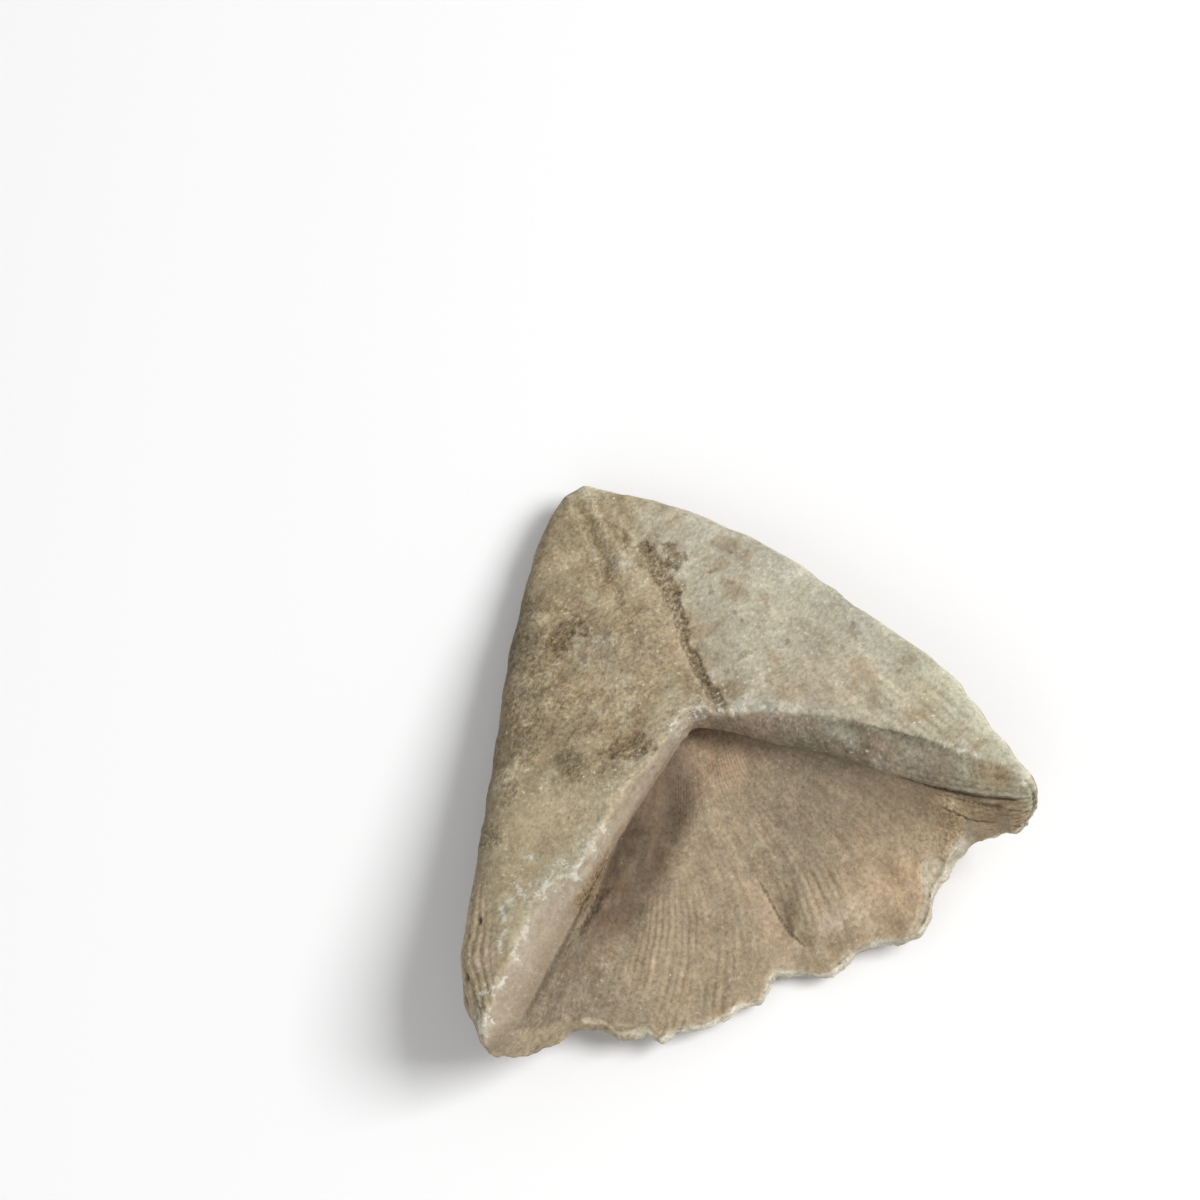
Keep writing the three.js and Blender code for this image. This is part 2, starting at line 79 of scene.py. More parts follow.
MARGIN = [(-25.6, 1.4), (-23.6, 1.7), (-20.7, 2.7), (-19.2, 3.4), (-16.4, 2.9), (-15.6, 1.7),
          (-13.2, 1.4), (-12.4, -0.1), (-10.9, 0.3), (-7.9, -0.2), (-5, 0.35), (-3, 0),
          (-1.9, 0.9), (-0.9, 1.9), (1.4, 0.8), (2.4, 0), (3.6, -0.4), (6.5, 0.5), (8.7, 0.2),
          (10.4, -0.8), (12.1, -0.9), (13.6, 0.1), (14.6, 1.8), (16.1, 2.4), (17.5, 3.3),
          (19.6, 3.4), (22, 2.6), (23.2, 1.5), (25.7, 1.1)]
LAYERS_START = [(1, 21.6), (6, 18.6)]

# The calice: how far from the apex it starts, its half width and depth at the mouth, how full its
# rounded floor is, and the z above which its ceiling lies
CALICE_STARTS = 19
CALICE_HALF_WIDTH = 24
CALICE_DEPTH = 10
CALICE_FULLNESS = 2.2
CEILING_ABOVE = -6

# The way straight across an arm of the V, for each millimetre along y
ACROSS_ARM = 0.78

# Where the long furrow runs on the flat side, and its weaker neighbour to the left
FURROW_X = 4.25
SIDE_FURROW_X = 0.1

# Worn hollows of the flat side: x, y, half length, half width, turn in degrees, depth
HOLLOWS = [
    (-4.9, 21.0, 3.3, 1.6, -22, 0.22), (-9.4, 21.3, 2.0, 1.9, 15, 0.18),
    (-5.8, 34.3, 1.9, 1.7, 25, 0.22), (6.3, 37.2, 1.2, 2.2, 20, 0.2),
    (4.9, 39.6, 0.9, 1.2, 0, 0.12), (3.1, 41.0, 0.6, 1.2, 0, 0.12), (0.0, 38.0, 0.5, 1.2, 0, 0.1),
    (8.2, 24.4, 0.6, 0.5, 0, 0.08), (-11.5, 27, 1.8, 1.2, 60, 0.1), (-8.2, 29.5, 1.3, 0.9, 20, 0.08)]

# Veins of fine white crystals beside the left arm (x, y), and frosted spots: x, y, reach
VEINS = [
    [(-16.6, 10.7), (-16.2, 12), (-14.6, 11.9), (-13, 11.5)],
    [(-16.2, 12), (-15.1, 12.5), (-13.8, 13.5)],
    [(-13.2, 12.3), (-12.5, 12.2), (-11.8, 12.9), (-11.1, 13.7)],
    [(-19.3, 12.2), (-18.3, 12.1), (-17.8, 11.4)], [(-17.9, 13.1), (-18.3, 12.1)],
    [(-20, 11.9), (-20.4, 10.8)], [(-20.5, 9.6), (-21.2, 9), (-21.9, 7.7)],
    [(-18.3, 9.6), (-19.2, 8.6), (-20.5, 7.4), (-20.6, 6.6)],
    [(-24.4, 5.4), (-23.6, 5.2), (-22.6, 5.4)], [(-25.6, 4.3), (-26, 2.6), (-25.4, 1.6)]]
FROST_SPOTS = [
    (2, 21.4, 1.2), (-25.6, 2.4, 1.5), (25, 1.7, 0.7), (1.7, 38.4, 0.9), (-3, 32.1, 0.8),
    (6.6, 20.2, 0.8), (-11.2, 13.5, 1.1), (-16.2, 15, 0.6), (-13.4, 12.8, 0.9), (-9.4, 14.8, 0.7),
    (-15.8, 12.2, 0.7), (-19.3, 11.9, 0.6)]

# Cracks between the layers in the right arm's broken end (x, z), from the top one down
LAYER_CRACKS = [
    [(17.5, -3.9), (21, -4.15), (24, -4.6), (26, -5.6)],
    [(17, -5.1), (19, -5.4), (21.7, -6.7), (24, -7.1)],
    [(20.5, -7.2), (23, -7.75)]]

# Spacing of each kind of fine parallel line, in millimetres
SEPTA = 0.97
LAMINAE = 0.6
FLANK_RIBS = 0.75
STRIAE = 0.95
GROWTH_LINES = 1.05
BEVEL_STREAKS = 0.55
APEX_RIBS = 1.7

# Colours that are used by name, in linear light
OLIVE = [0.215, 0.174, 0.11]
TAN = [0.375, 0.302, 0.195]
PALE = [0.48, 0.44, 0.33]
BLUE = [0.40, 0.405, 0.335]
FLOOR = [0.355, 0.28, 0.185]
SHADE = [0.275, 0.222, 0.15]
PINK = [0.40, 0.30, 0.205]
WARM = [0.46, 0.335, 0.21]
FROST_WHITE = (0.63, 0.61, 0.52)
VEIN_WHITE = (0.62, 0.61, 0.52)
SPARKLE_WHITE = (0.74, 0.71, 0.63)
CRACK_AND_SHADOW_TINT = (0.32, 0.26, 0.19)

# Stains at the right arm's tip: x, y, reach
TIP_STAINS = [(22.8, 3.8, 1.2), (22.7, 6.4, 0.8), (23.8, 3.2, 0.9)]

# Broad lighter and darker places of the flat side: x, y, reach, redder by, lighter by
BROAD_TONES = [
    (-14.4, 21.9, 3.2, 0, 0.24), (-12.6, 17.0, 3.4, 0.03, 0.22), (-5.1, 26.6, 3.6, 0.02, 0.12),
    (0.2, 35.4, 3, 0.01, 0.12), (-4.1, 31.8, 2.6, 0, -0.18), (-19, 14, 2.6, 0, 0.08),
    (21.4, 13.7, 2.6, 0.02, 0.13), (22.2, 8.7, 1.6, 0.05, -0.14), (3, 28.6, 2.4, 0.02, 0.12)]

# Painted shade: how much darker a hollow is, and how much paler a crest, for each millimetre of its
# bend
TONE_BY_BEND = 12


# Soft masks and noise
def line(points, along):
    """The height of a broken line of points at each place along it."""
    return np.interp(along, [p[0] for p in points], [p[1] for p in points])


def bump(distance, width):
    """1 where the distance is 0, and less on both sides of it."""
    return np.exp(-(distance / width) ** 2)


def step(value, low, high):
    """0 below `low`, 1 above `high`, and a smooth rise between them."""
    t = np.clip((value - low) / (high - low), 0, 1)
    return t * t * (3 - 2 * t)


def within(value, rise, fall):
    """1 between two soft limits, each given by where it begins and where it ends."""
    return step(value, *rise) * (1 - step(value, *fall))


def clamp(mask):
    return np.clip(mask, 0, 1)


def from_line(points, x, y):
    """Distance from a broken line of (x, y) points."""
    nearest = np.full(len(x), np.inf)
    for (ax, ay), (bx, by) in zip(points, points[1:]):
        dx, dy = bx - ax, by - ay
        t = np.clip(((x - ax) * dx + (y - ay) * dy) / (dx * dx + dy * dy), 0, 1)
        nearest = np.minimum(nearest, np.hypot(x - ax - t * dx, y - ay - t * dy))
    return nearest


def lattice(cell, seed):
    """Repeatable random number from 0 to 1 for each corner of the noise lattice."""
    cell = cell.astype(np.int64)
    n = cell[..., 0] * 73856093 ^ cell[..., 1] * 19349663 ^ cell[..., 2] * 83492791 ^ seed * 2654435761
    n = (n ^ (n >> 13)) * 1274126177 & 0xFFFFFFFF
    n = (n ^ (n >> 16)) * 2246822519 & 0xFFFFFFFF
    return ((n ^ (n >> 15)) & 0xFFFFFF) / 0xFFFFFF


def noise(points, size, seed=0):
    """Smooth value noise from -1 to 1; `size` is the width of a lump, in millimetres."""
    p = np.asarray(points) / size
    cell = np.floor(p)
    t = p - cell
    t = t * t * t * (t * (t * 6 - 15) + 10)
    total = 0
    for corner in np.ndindex(2, 2, 2):
        weight = np.prod(np.where(np.array(corner), t, 1 - t), axis=-1)
        total = total + weight * lattice(cell + np.array(corner), seed)
    return total * 2 - 1


def fractal(points, size, octaves=4, seed=0, gain=0.55):
    """Noise with smaller lumps on it, each octave about half as wide as the one before."""
    total, weight, full = 0, 1, 0
    for i in range(octaves):
        total = total + weight * noise(points, size / 2.03 ** i, seed + i)
        full += weight
        weight *= gain
    return total / full * 1.6


def pits(points, size, seed, filled=0.3):
    """Round pits: 1 at a pit's centre and 0 outside it; `filled` is the share of cells with one."""
    p = np.asarray(points) / size
    base = np.floor(p)
    best = np.zeros(len(p))
    for offset in np.ndindex(3, 3, 3):
        cell = base + np.array(offset) - 1
        centre = cell + 0.5 + 0.35 * np.stack(
            [lattice(cell, seed + k) * 2 - 1 for k in (1, 2, 3)], axis=-1)
        radius = 0.18 + 0.3 * lattice(cell, seed + 4)
        there = lattice(cell, seed) < filled
        gap_with_painted_shadow = np.linalg.norm(p - centre, axis=1) / radius
        best = np.maximum(best, np.where(there, np.clip(1 - gap_with_painted_shadow ** 2, 0, 1), 0))
    return best


def turn_to_fossil(vectors):
    """Turns vectors of the row's frame by TILT into the fossil's own frame."""
    cos, sin = math.cos(TILT), math.sin(TILT)
    along_x, along_y, along_z = vectors.T
    return np.stack([along_x, along_y * cos - along_z * sin, along_y * sin + along_z * cos], axis=1)


# Meshes
def read(mesh):
    """Returns the vertices' places and normals."""
    points = np.empty(len(mesh.vertices) * 3)
    mesh.vertices.foreach_get("co", points)
    normals = np.empty(len(mesh.vertices) * 3)
    mesh.vertices.foreach_get("normal", normals)
    return points.reshape(-1, 3), normals.reshape(-1, 3)


def move(mesh, places):
    mesh.vertices.foreach_set("co", places.ravel())
    mesh.update()


def smooth_faces(mesh):
    mesh.polygons.foreach_set("use_smooth", [True] * len(mesh.polygons))


def bake_modifiers(obj):
    """Bakes the object's modifiers into its mesh."""
    done = bpy.data.meshes.new_from_object(obj.evaluated_get(bpy.context.evaluated_depsgraph_get()))
    obj.modifiers.clear()
    old, obj.data = obj.data, done
    bpy.data.meshes.remove(old)


def fine_copy(node):
    """A dense, even copy of a CAD node, made in millimetres to keep the voxels exact."""
    obj = bpy.data.objects.new("fossil", node.data.copy())
    bpy.context.scene.collection.objects.link(obj)
    obj.data.transform(Matrix.Scale(MM_PER_METRE, 4))
    obj.data.materials.clear()
    remesh = obj.modifiers.new("voxels", "REMESH")
    remesh.mode = "VOXEL"
    remesh.voxel_size = VOXEL
    remesh.adaptivity = 0
    bake_modifiers(obj)
    smooth_faces(obj.data)
    return obj


def averager(mesh):
    """Returns a function that gives each vertex the mean of its neighbours' values."""
    ends = np.empty(len(mesh.edges) * 2, np.int64)
    mesh.edges.foreach_get("vertices", ends)
    a, b = ends.reshape(-1, 2).T
    count = len(mesh.vertices)
    degree = np.bincount(a, minlength=count) + np.bincount(b, minlength=count)

    def average(values):
        columns = [np.bincount(a, values[b, k], count) + np.bincount(b, values[a, k], count)
                   for k in range(values.shape[1])]
        return np.stack(columns, axis=1) / degree[:, None]
    return average


def soften(mesh, average):
    """Takes the voxel steps off everywhere and the facets off the broad faces, but keeps edges.

    Returns 1 on the edges and 0 on the broad faces.
    """
    places, _ = read(mesh)
    for _ in range(VOXEL_PASSES):
        places = places * 0.5 + average(places) * 0.5
    move(mesh, places)
    _, normals = read(mesh)
    for _ in range(FACING_PASSES):
        normals = normals * 0.4 + average(normals) * 0.6
    sharpness = average(1 - np.linalg.norm(normals, axis=1)[:, None])
    weight = 0.55 * (1 - step(sharpness, 0.015, 0.06))
    for _ in range(FACET_PASSES):
        places = places + (average(places) - places) * weight
    move(mesh, places)
    return step(sharpness[:, 0], 0.02, 0.08)


def hollowness(mesh, average):
    """Above 0 in the hollows of the surface and below 0 on its crests, for sizes near 0.5 mm."""
    places, normals = read(mesh)
    bend = ((average(places) - places) * normals).sum(axis=1)[:, None]
    for _ in range(2):
        bend = bend * 0.5 + average(bend) * 0.5
    return bend[:, 0]


# The fossil's points, and where each of them lies in the fossil's own frame
fossil = fine_copy(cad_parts["slipper_coral"])
average = averager(fossil.data)
edge = soften(fossil.data, average)
points, normals = read(fossil.data)
at = turn_to_fossil(points) + OFFSET
x, y, z = at.T
facing_x, facing_y, facing_z = turn_to_fossil(normals).T
from_apex = LENGTH - y

# Unevenness that many places share, from the widest to the finest
broad = fractal(at, 9, 3, 5)
coarse = fractal(at, 5, 3, 1)
crumb = fractal(at, 1.7, 3, 21)
grain = fractal(at, 0.8, 3, 11)
pit = pits(at, 1.9, 31, 0.22)
small_pit = pits(at, 0.9, 36, 0.3)


def spot(cx, cy, width, height, ragged=0):
    """A soft spot around (cx, cy), from its half width and half height; `ragged` shifts its edge."""
    return bump(np.hypot((x - cx) / width, (y - cy) / height) + ragged, 1)


def round_spot(cx, cy, reach, ragged=0):
    """A soft round spot; `ragged` and `reach` are in millimetres."""
    return bump(np.hypot(x - cx, y - cy) + ragged, reach)


# Where each point lies: the flat side, the bevel of the V, the floor and ceiling of the calice,
# the broken margin, the layered end of the right arm, and the arched outside
top_y = line(BEVEL_TOP, x)
foot_y = line(BEVEL_FOOT, x)
above_foot = z + line(FOOT_DEPTH, x)
to_margin = y - line(MARGIN, x)
edge_left = x - line(LEFT_EDGE, from_apex)
edge_right = x - line(RIGHT_EDGE, from_apex)
calice_left = line(CALICE_LEFT, from_apex)
calice_right = line(CALICE_RIGHT, from_apex)
in_calice = (x > calice_left - 0.5) & (x < calice_right + 0.5) & (from_apex > CALICE_STARTS)
low = (above_foot < 0.1) & ((y < foot_y + 0.4) | in_calice)
flat = step(y - top_y, -0.35, 0.15) * step(facing_z, 0.15, 0.45) * (1 - low)
floor = low * step(to_margin, 0.05, 0.35) * step(facing_z, -0.05, 0.2)
ceiling = in_calice * (z > CEILING_ABOVE) * (y > foot_y) * step(-facing_z, -0.1, 0.1)
arch = step(-facing_z, -0.12, 0.1) * (1 - floor) * (1 - flat) * (1 - ceiling)
arch = arch * (1 - step(-facing_y, 0.75, 0.95) * (to_margin < 0.6))
layered = low * step(x, 17.5, 20.5) * (1 - arch) * step(x - line(LAYERS_START, y), -0.4, 0.4)
floor = floor * (1 - layered)
edge_face = clamp(1 - floor - flat - arch - layered)
bevel = edge_face * step(y - foot_y, -0.6, 0.1) * step(above_foot, -1.0, -0.1)
rim = clamp(edge_face - bevel)
left_bevel = bevel * step(-x, -2, 0)
right_bevel = bevel * step(x, 0, 2)

# The two furrows of the flat side, which are rough and pitted, and the sides they part
furrow_x = FURROW_X + 0.3 * np.sin((y - 31) / 2.6) + 0.15 * noise(at, 2, 44)
furrow_half = 0.58 + 0.27 * step(y, 29, 35)
furrow_side = (x - furrow_x) / furrow_half
furrow = flat * (1 - step(np.abs(furrow_side) + 0.35 * grain + 0.3 * crumb, 0.45, 1.1))
furrow = furrow * step(y, 19, 21) * (1 - step(y + crumb, 38.5, 42))
upper = step(y, 29, 33)
side_x = SIDE_FURROW_X + 0.06 * np.maximum(y - 36, 0) + 0.3 * noise(at, 2, 45)
side_furrow = flat * (1 - step(np.abs(x - side_x) + 0.2 * grain, 0.2, 0.6))
side_furrow = clamp(side_furrow * within(y, (28, 34), (39, 43)) * (0.5 + 0.5 * noise(at, 2.5, 43)))
left_open = 1 - step(x - furrow_x + 1.2 * crumb, -0.6, 1.2)
right_side = step(x - furrow_x + 1.2 * crumb, -0.6, 2.2) * (1 - 0.5 * step(y, 40, 46))
low_left = flat * step(-x, 3, 9) * (1 - step(y, 20, 26))


def hollow(cx, cy, length, width, turn):
    """1 inside a ragged worn hollow of the flat side, and how far along it each point lies."""
    cos, sin = math.cos(math.radians(turn)), math.sin(math.radians(turn))
    along = ((x - cx) * cos + (y - cy) * sin) / length
    beside = ((y - cy) * cos - (x - cx) * sin) / width
    ragged = np.hypot(along, beside) + 0.35 * crumb + 0.3 * grain
    return flat * (1 - step(ragged, 0.55, 1.05)), along


# The worn hollows: where one is, and how deep it is there
sunk = np.zeros(len(at))
sinking = np.zeros(len(at))
for cx, cy, length, width, turn, depth in HOLLOWS:
    inside, along = hollow(cx, cy, length, width, turn)
    sunk = np.maximum(sunk, inside * min(depth * 4.2, 1))
    sinking = np.maximum(sinking, inside * depth * (0.65 + 0.35 * np.clip(along, -1, 1)))

# Inner laminae that end before the broken margin
ledge_at = 2.2 * bump(x - 14.3, 2.4) + 0.4 * bump(x + 17, 3) + 0.5 * bump(x - 5.5, 2) + 0.3 * crumb
ledge = floor * step(ledge_at - to_margin, -0.1, 0.1) * step(ledge_at, 0.2, 0.5)
outer_ledge = floor * step(ledge_at * 0.45 - to_margin, -0.1, 0.1) * step(ledge_at, 0.5, 0.8)

# The fold of the floor, with painted shade on its right bank
fold_side = x - line(FOLD, y)
fold = floor * within(y, (1, 3.5), (8.5, 11.5))
crease = fold * bump(fold_side, 0.35)
painted_shade_fold_bank = fold * within(fold_side, (-0.3, 0.1), (0.4, 2.2))

# The hollow along the left arm: brown and painted shade, a painted shadow beside it, painted shade by
# its lower foot
from_arm = (foot_y - y) * ACROSS_ARM + 0.4 * crumb
arm_reach = np.clip(2.3 + 0.2 * (17 - y), 2.3, 3.7)
brown_and_shade_under_arm = floor * (1 - step(from_arm, arm_reach - 1.6, arm_reach + 0.5))
brown_and_shade_under_arm = brown_and_shade_under_arm * step(-x, -1, 2) * step(y, 7.5, 10.5)
painted_shadow_beside_arm = floor * (1 - step(from_arm, -0.9, 0.3)) * step(-x, 1, 4)
painted_shadow_beside_arm = painted_shadow_beside_arm * within(y, (8, 11), (16.5, 18.5))
brown_and_shade_near_arm = floor * (1 - step(from_arm, 1, 5)) * step(-x, -1, 3) * step(y, 5, 12)
painted_shade_by_foot = floor * (1 - step(from_arm, -0.3, 3.2)) * step(-x, 6, 9)

# Brown crumbs where the left bevel meets the floor, and the gap at the foot of both bevels, with a
# painted shadow
crumbs_here = (left_bevel + floor + rim) * bump(above_foot + 0.3, 1.3)
crumbs_here = clamp(crumbs_here * within(-x, (9, 10.5), (13.5, 15)))
gap_with_painted_shadow = clamp(bump(above_foot + 0.35, 0.4) * (rim + floor + bevel + layered)) * step(to_margin, 0.2, 1)

# The left arm's flank, with ribs and long pits
flank_width = 1 - 0.6 * step(y, 8, 17)
left_flank = 1 - step(edge_left + 0.4 * crumb, 1.6 * flank_width, 4.4 * flank_width)
left_flank = left_flank * within(y, (1.5, 4), (13, 18))
left_flank = left_flank * (1 - floor) * (1 - left_bevel) * step(facing_z, -0.35, 0)
flank_pit = left_flank * pits(at * [1.2, 0.6, 1.2], 1.1, 39, 0.45) * (1 - step(edge_left, 1.4, 3))


# Fine parallel lines: the number of the line above each point, and how deep the lines are cut.
# Septa spread over the floor from the pocket, laminae fan out in the right arm's broken end,
# growth lines run round the outside, striae run down the flat side's right flank, ribs down the
# left one, and streaks along the right bevel.
def septa_number():
    """Counts the septa across the calice, evenly along its rounded floor."""
    side = np.clip((2 * x - calice_left - calice_right) / (calice_right - calice_left), -1, 1)
    grid = np.linspace(-1, 1, 400)
    depth = CALICE_DEPTH * (1 - np.abs(grid) ** CALICE_FULLNESS) ** (1 / CALICE_FULLNESS)
    lengths = np.hypot(np.diff(CALICE_HALF_WIDTH * grid), np.diff(depth))
    arc = np.concatenate([[0], np.cumsum(lengths)])
    return np.interp(side, grid, arc) / SEPTA


def deepest(kinds):
    """Takes the number and the depth from the kind of line that is deepest at each point."""
    number, depth = kinds[0]
    for other_number, other_depth in kinds[1:]:
        deeper = other_depth > depth
        number = np.where(deeper, other_number, number)
        depth = np.where(deeper, other_depth, depth)
    return number, clamp(depth)


septum = septa_number()
septa = 0.03 + 0.62 * spot(-7.5, 3.8, 4.3, 5.8) + 0.24 * spot(5.2, 6.3, 3.2, 4.6)
septa += 0.25 * spot(1, 18.5, 4, 2)
septa = septa * floor * np.clip(0.7 + 0.9 * noise(at, 2.2, 41), 0, 1.2) * step(to_margin, 0.1, 0.5)
laminae = layered * (0.3 + 0.35 * noise(at, 2, 42))
striae = flat * 0.5 * spot(20, 11, 3.4, 7) * np.clip(0.6 + 0.8 * noise(at, 2.6, 51), 0.2, 1)
growth = arch * (0.35 + 0.35 * noise(at, 6, 62))
streaks = right_bevel * 0.3 * step(x, 10, 16) * clamp(0.6 + 0.8 * noise(at, 2.5, 50))
line_phase, line_depth = deepest([
    (septum + 0.16 * noise(at, 3.5, 40) + 0.08 * noise(at, 1.1, 49), septa),
    ((0.2 * (x - 22) - z + 0.25 * noise(at, 2.4, 48)) / LAMINAE, laminae),
    ((edge_left + 0.3 * noise(at, 3, 46)) / FLANK_RIBS, 0.38 * left_flank),
    ((x + 0.42 * y + 0.25 * coarse) / STRIAE, striae),
    ((from_apex + 0.5 * noise(at, 5, 61)) / GROWTH_LINES, growth),
    ((z + 0.25 * coarse) / BEVEL_STREAKS, streaks)])
wave = -np.cos(2 * math.pi * line_phase)

# Low ribs that run up to the apex
apex_ribs = flat * 0.7 * bump(x - 1.5, 3.6) * within(y, (36, 41), (46.5, 48))
rib_wave = np.cos(2 * math.pi * (x - 1.6 + 0.05 * (y - 42) + 0.35 * noise(at, 2.5, 64)) / APEX_RIBS)


def nearest_crack_and_shadow_line():
    """Distance in millimetres to the nearest crack or painted shadow line, plus up to 1 where it dies
    out.
    """
    beside_edge = edge_left - 1.1 + 0.35 * noise(at, 3, 59)
    foot_gap = (foot_y - y) * ACROSS_ARM + 0.05 + 0.15 * crumb
    uneven = 0.15 * noise(at, 1.2, 66)
    layers = [z - line(crack_line, x) + uneven for crack_line in LAYER_CRACKS]
    broken = noise(at, 1.6, 65)

    at_foot = (1 - flat) * (1 - arch) * step(to_margin, 0, 0.6) * (1 - step(y - foot_y, 0.8, 1.6))
    below_foot = (1 - flat) * (1 - arch) * step(-above_foot, 0.4, 0.9)
    below_foot = below_foot * step(-x, 9, 11) * step(to_margin, 0.3, 1)
    at_layers = low * (1 - arch) * step(x, 17, 18.5)
    side_strength = 0.68 + 0.25 * noise(at, 2, 57)

    nearest = np.ones(len(at))
    for distance, strength in (
            # Painted shadow lines under the bevels' edge, along the long furrow's right side and in the
            # fold
            (above_foot + 0.3, at_foot * (0.55 + 0.45 * step(x, -2, 2))),
            ((furrow_side - 0.7) * furrow_half, 0.76 * flat * within(y, (20, 22), (27, 31))),
            (fold_side + 0.25, fold * (0.93 - 0.1 * step(-y, -4, -2.5))),
            (layers[0], at_layers * (0.95 + 0.2 * broken)),
            (layers[1], at_layers * (1 + 0.12 * broken) * (1 - step(x, 23.5, 24.5))),
            (layers[2], at_layers * (0.95 + 0.2 * noise(at, 1.2, 65)) * bump(x - 22, 2.2)),
            # A painted shadow line at the left bevel's lower foot
            (foot_gap, below_foot * (0.92 + 0.12 * crumb)),
            (to_margin - ledge_at, floor * step(ledge_at, 0.7, 1) * (0.7 + 0.25 * crumb)),
            (x - side_x, flat * within(y, (29, 32), (41, 44)) * side_strength),
            (x - 3.1 + 0.2 * (y - 41), 0.85 * flat * bump(y - 41.5, 2)),
            (beside_edge, left_flank * (0.75 + 0.3 * noise(at, 2.5, 58)))):
        nearest = np.minimum(nearest, np.abs(distance) + 1 - clamp(strength))
    return nearest


cracks_and_shadow_lines = nearest_crack_and_shadow_line()

# Rough, dirty ground, from 0 to 1
worn = step(fractal(at, 3.2, 3, 33) + 0.35 * left_open, 0.15, 0.7)
dirty = flat * (0.3 + 0.25 * step(-x, 4, 10)) * worn * left_open * step(y, 13, 19)
rough = clamp(0.8 * furrow + 0.8 * side_furrow + 0.8 * sunk + crumbs_here)
rough = np.maximum(rough, 0.7 * floor * spot(18.4, 4.4, 1.9, 1.6, 0.3 * crumb))
rough = np.maximum(rough, dirty + 0.2 * left_flank)


# Relief on top of the solid's own shape, in millimetres along the surface's normal
def flat_relief():
    """Pits, furrows and hollows of the flat side, and the ribs at its apex."""
    relief = flat * (0.04 * crumb - 0.07 * pit * step(broad, -0.1, 0.5) - 0.03 * small_pit)
    relief -= furrow * (0.15 + 0.1 * furrow_side) * (1 - 0.4 * upper) + 0.12 * side_furrow + sinking
    return relief + 0.09 * apex_ribs * rib_wave


def floor_relief():
    """Crumbs, ledges and the fold of the calice's floor, and the gap at the bevels' foot."""
    relief = floor * (0.03 * crumb - 0.03 * small_pit)
    return relief - 0.13 * ledge - 0.08 * outer_ledge - 0.12 * crease - 0.12 * gap_with_painted_shadow


def bevel_relief():
    """The bevels and the broken faces are crumbly, and their edges are uneven."""
    relief = crumb * (0.08 * right_bevel + 0.07 * rim + 0.05 * layered)
    relief += edge * (1 - left_bevel) * (0.16 * fractal(at, 1.5, 2, 74) - 0.06)
    top_band = clamp(bevel + flat) * bump(y - top_y - 0.2 + 0.5 * crumb, 0.8)
    return relief + top_band * (0.14 * fractal(at, 1.1, 2, 72) - 0.12 * small_pit)


def outline_relief():
    """Fills the outline out: the left flank, the right arm's tip and a lobe of the margin."""
    left = 0.3 * step(-facing_x, 0.2, 0.7) * bump(y - 10.5, 4.5) * step(-x, 17, 20)
    tip = 0.4 * step(facing_x, 0.35, 0.9) * bump(y - 3, 4) * step(x, 21.5, 24.5)
    lobe = 0.4 * step(-facing_y, 0.3, 0.8) * bump(to_margin, 0.6) * bump(x + 14.6, 1.6)
    return left + tip + lobe


def arch_relief():
    """Pits and round knobs of the outside."""
    knobs = bump(fractal(at, 2.6, 2, 63) - 0.75, 0.35)
    return arch * (0.1 * crumb - 0.2 * pit + 0.12 * knobs)


relief = 0.012 * grain + 0.05 * coarse * (1 - left_bevel) - 0.3 * flank_pit
relief += rough * (0.10 * fractal(at, 0.75, 2, 47) - 0.16 * small_pit)
relief += line_depth * wave * (0.05 + 0.06 * layered + 0.05 * left_flank)
relief += flat_relief() + floor_relief() + bevel_relief() + outline_relief() + arch_relief()
displaced = points + normals * relief[:, None]
displaced[:, 2] = np.maximum(displaced[:, 2], 0)
move(fossil.data, displaced)
bend = hollowness(fossil.data, average)

# Frost of fine white crystals on the edges of the V and in spots, and veins of them
frost = 0.75 * clamp(bevel + flat) * bump(y - top_y - 0.3, 0.9) * step(fractal(at, 3, 2, 91), -0.3, 0.5)
frost = np.maximum(frost, left_bevel * step(above_foot, 2.0, 2.9) * 0.7)
for cx, cy, reach in FROST_SPOTS:
    frost = np.maximum(frost, (1 - floor) * step(above_foot, 1, 2) * round_spot(cx, cy, reach))
vein = np.ones(len(at))
wavy_x = x + 0.35 * noise(at, 1.3, 95)
wavy_y = y + 0.35 * noise(at, 1.3, 96)
for vein_line in VEINS:
    vein = np.minimum(vein, from_line(vein_line, wavy_x, wavy_y) + 1 - step(above_foot, 0.9, 1.5))
frost = np.maximum(frost, 0.6 * bump(vein, 0.7))
frost = np.clip(frost - 0.15 * grain, 0, 1.2)


# Colours, in linear light
def paint(colour, *coats):
    """Lays coats over the colour, one after another: each is a shade and how much it covers."""
    for shade, amount in coats:
        amount = clamp(amount)[:, None]
        colour = colour * (1 - amount) + np.array(shade) * amount
    return colour


def lighten(colour, change):
    """Makes each point lighter by its share of `change`, or darker where that is below 0."""
    return colour * (1 + change)[:, None]


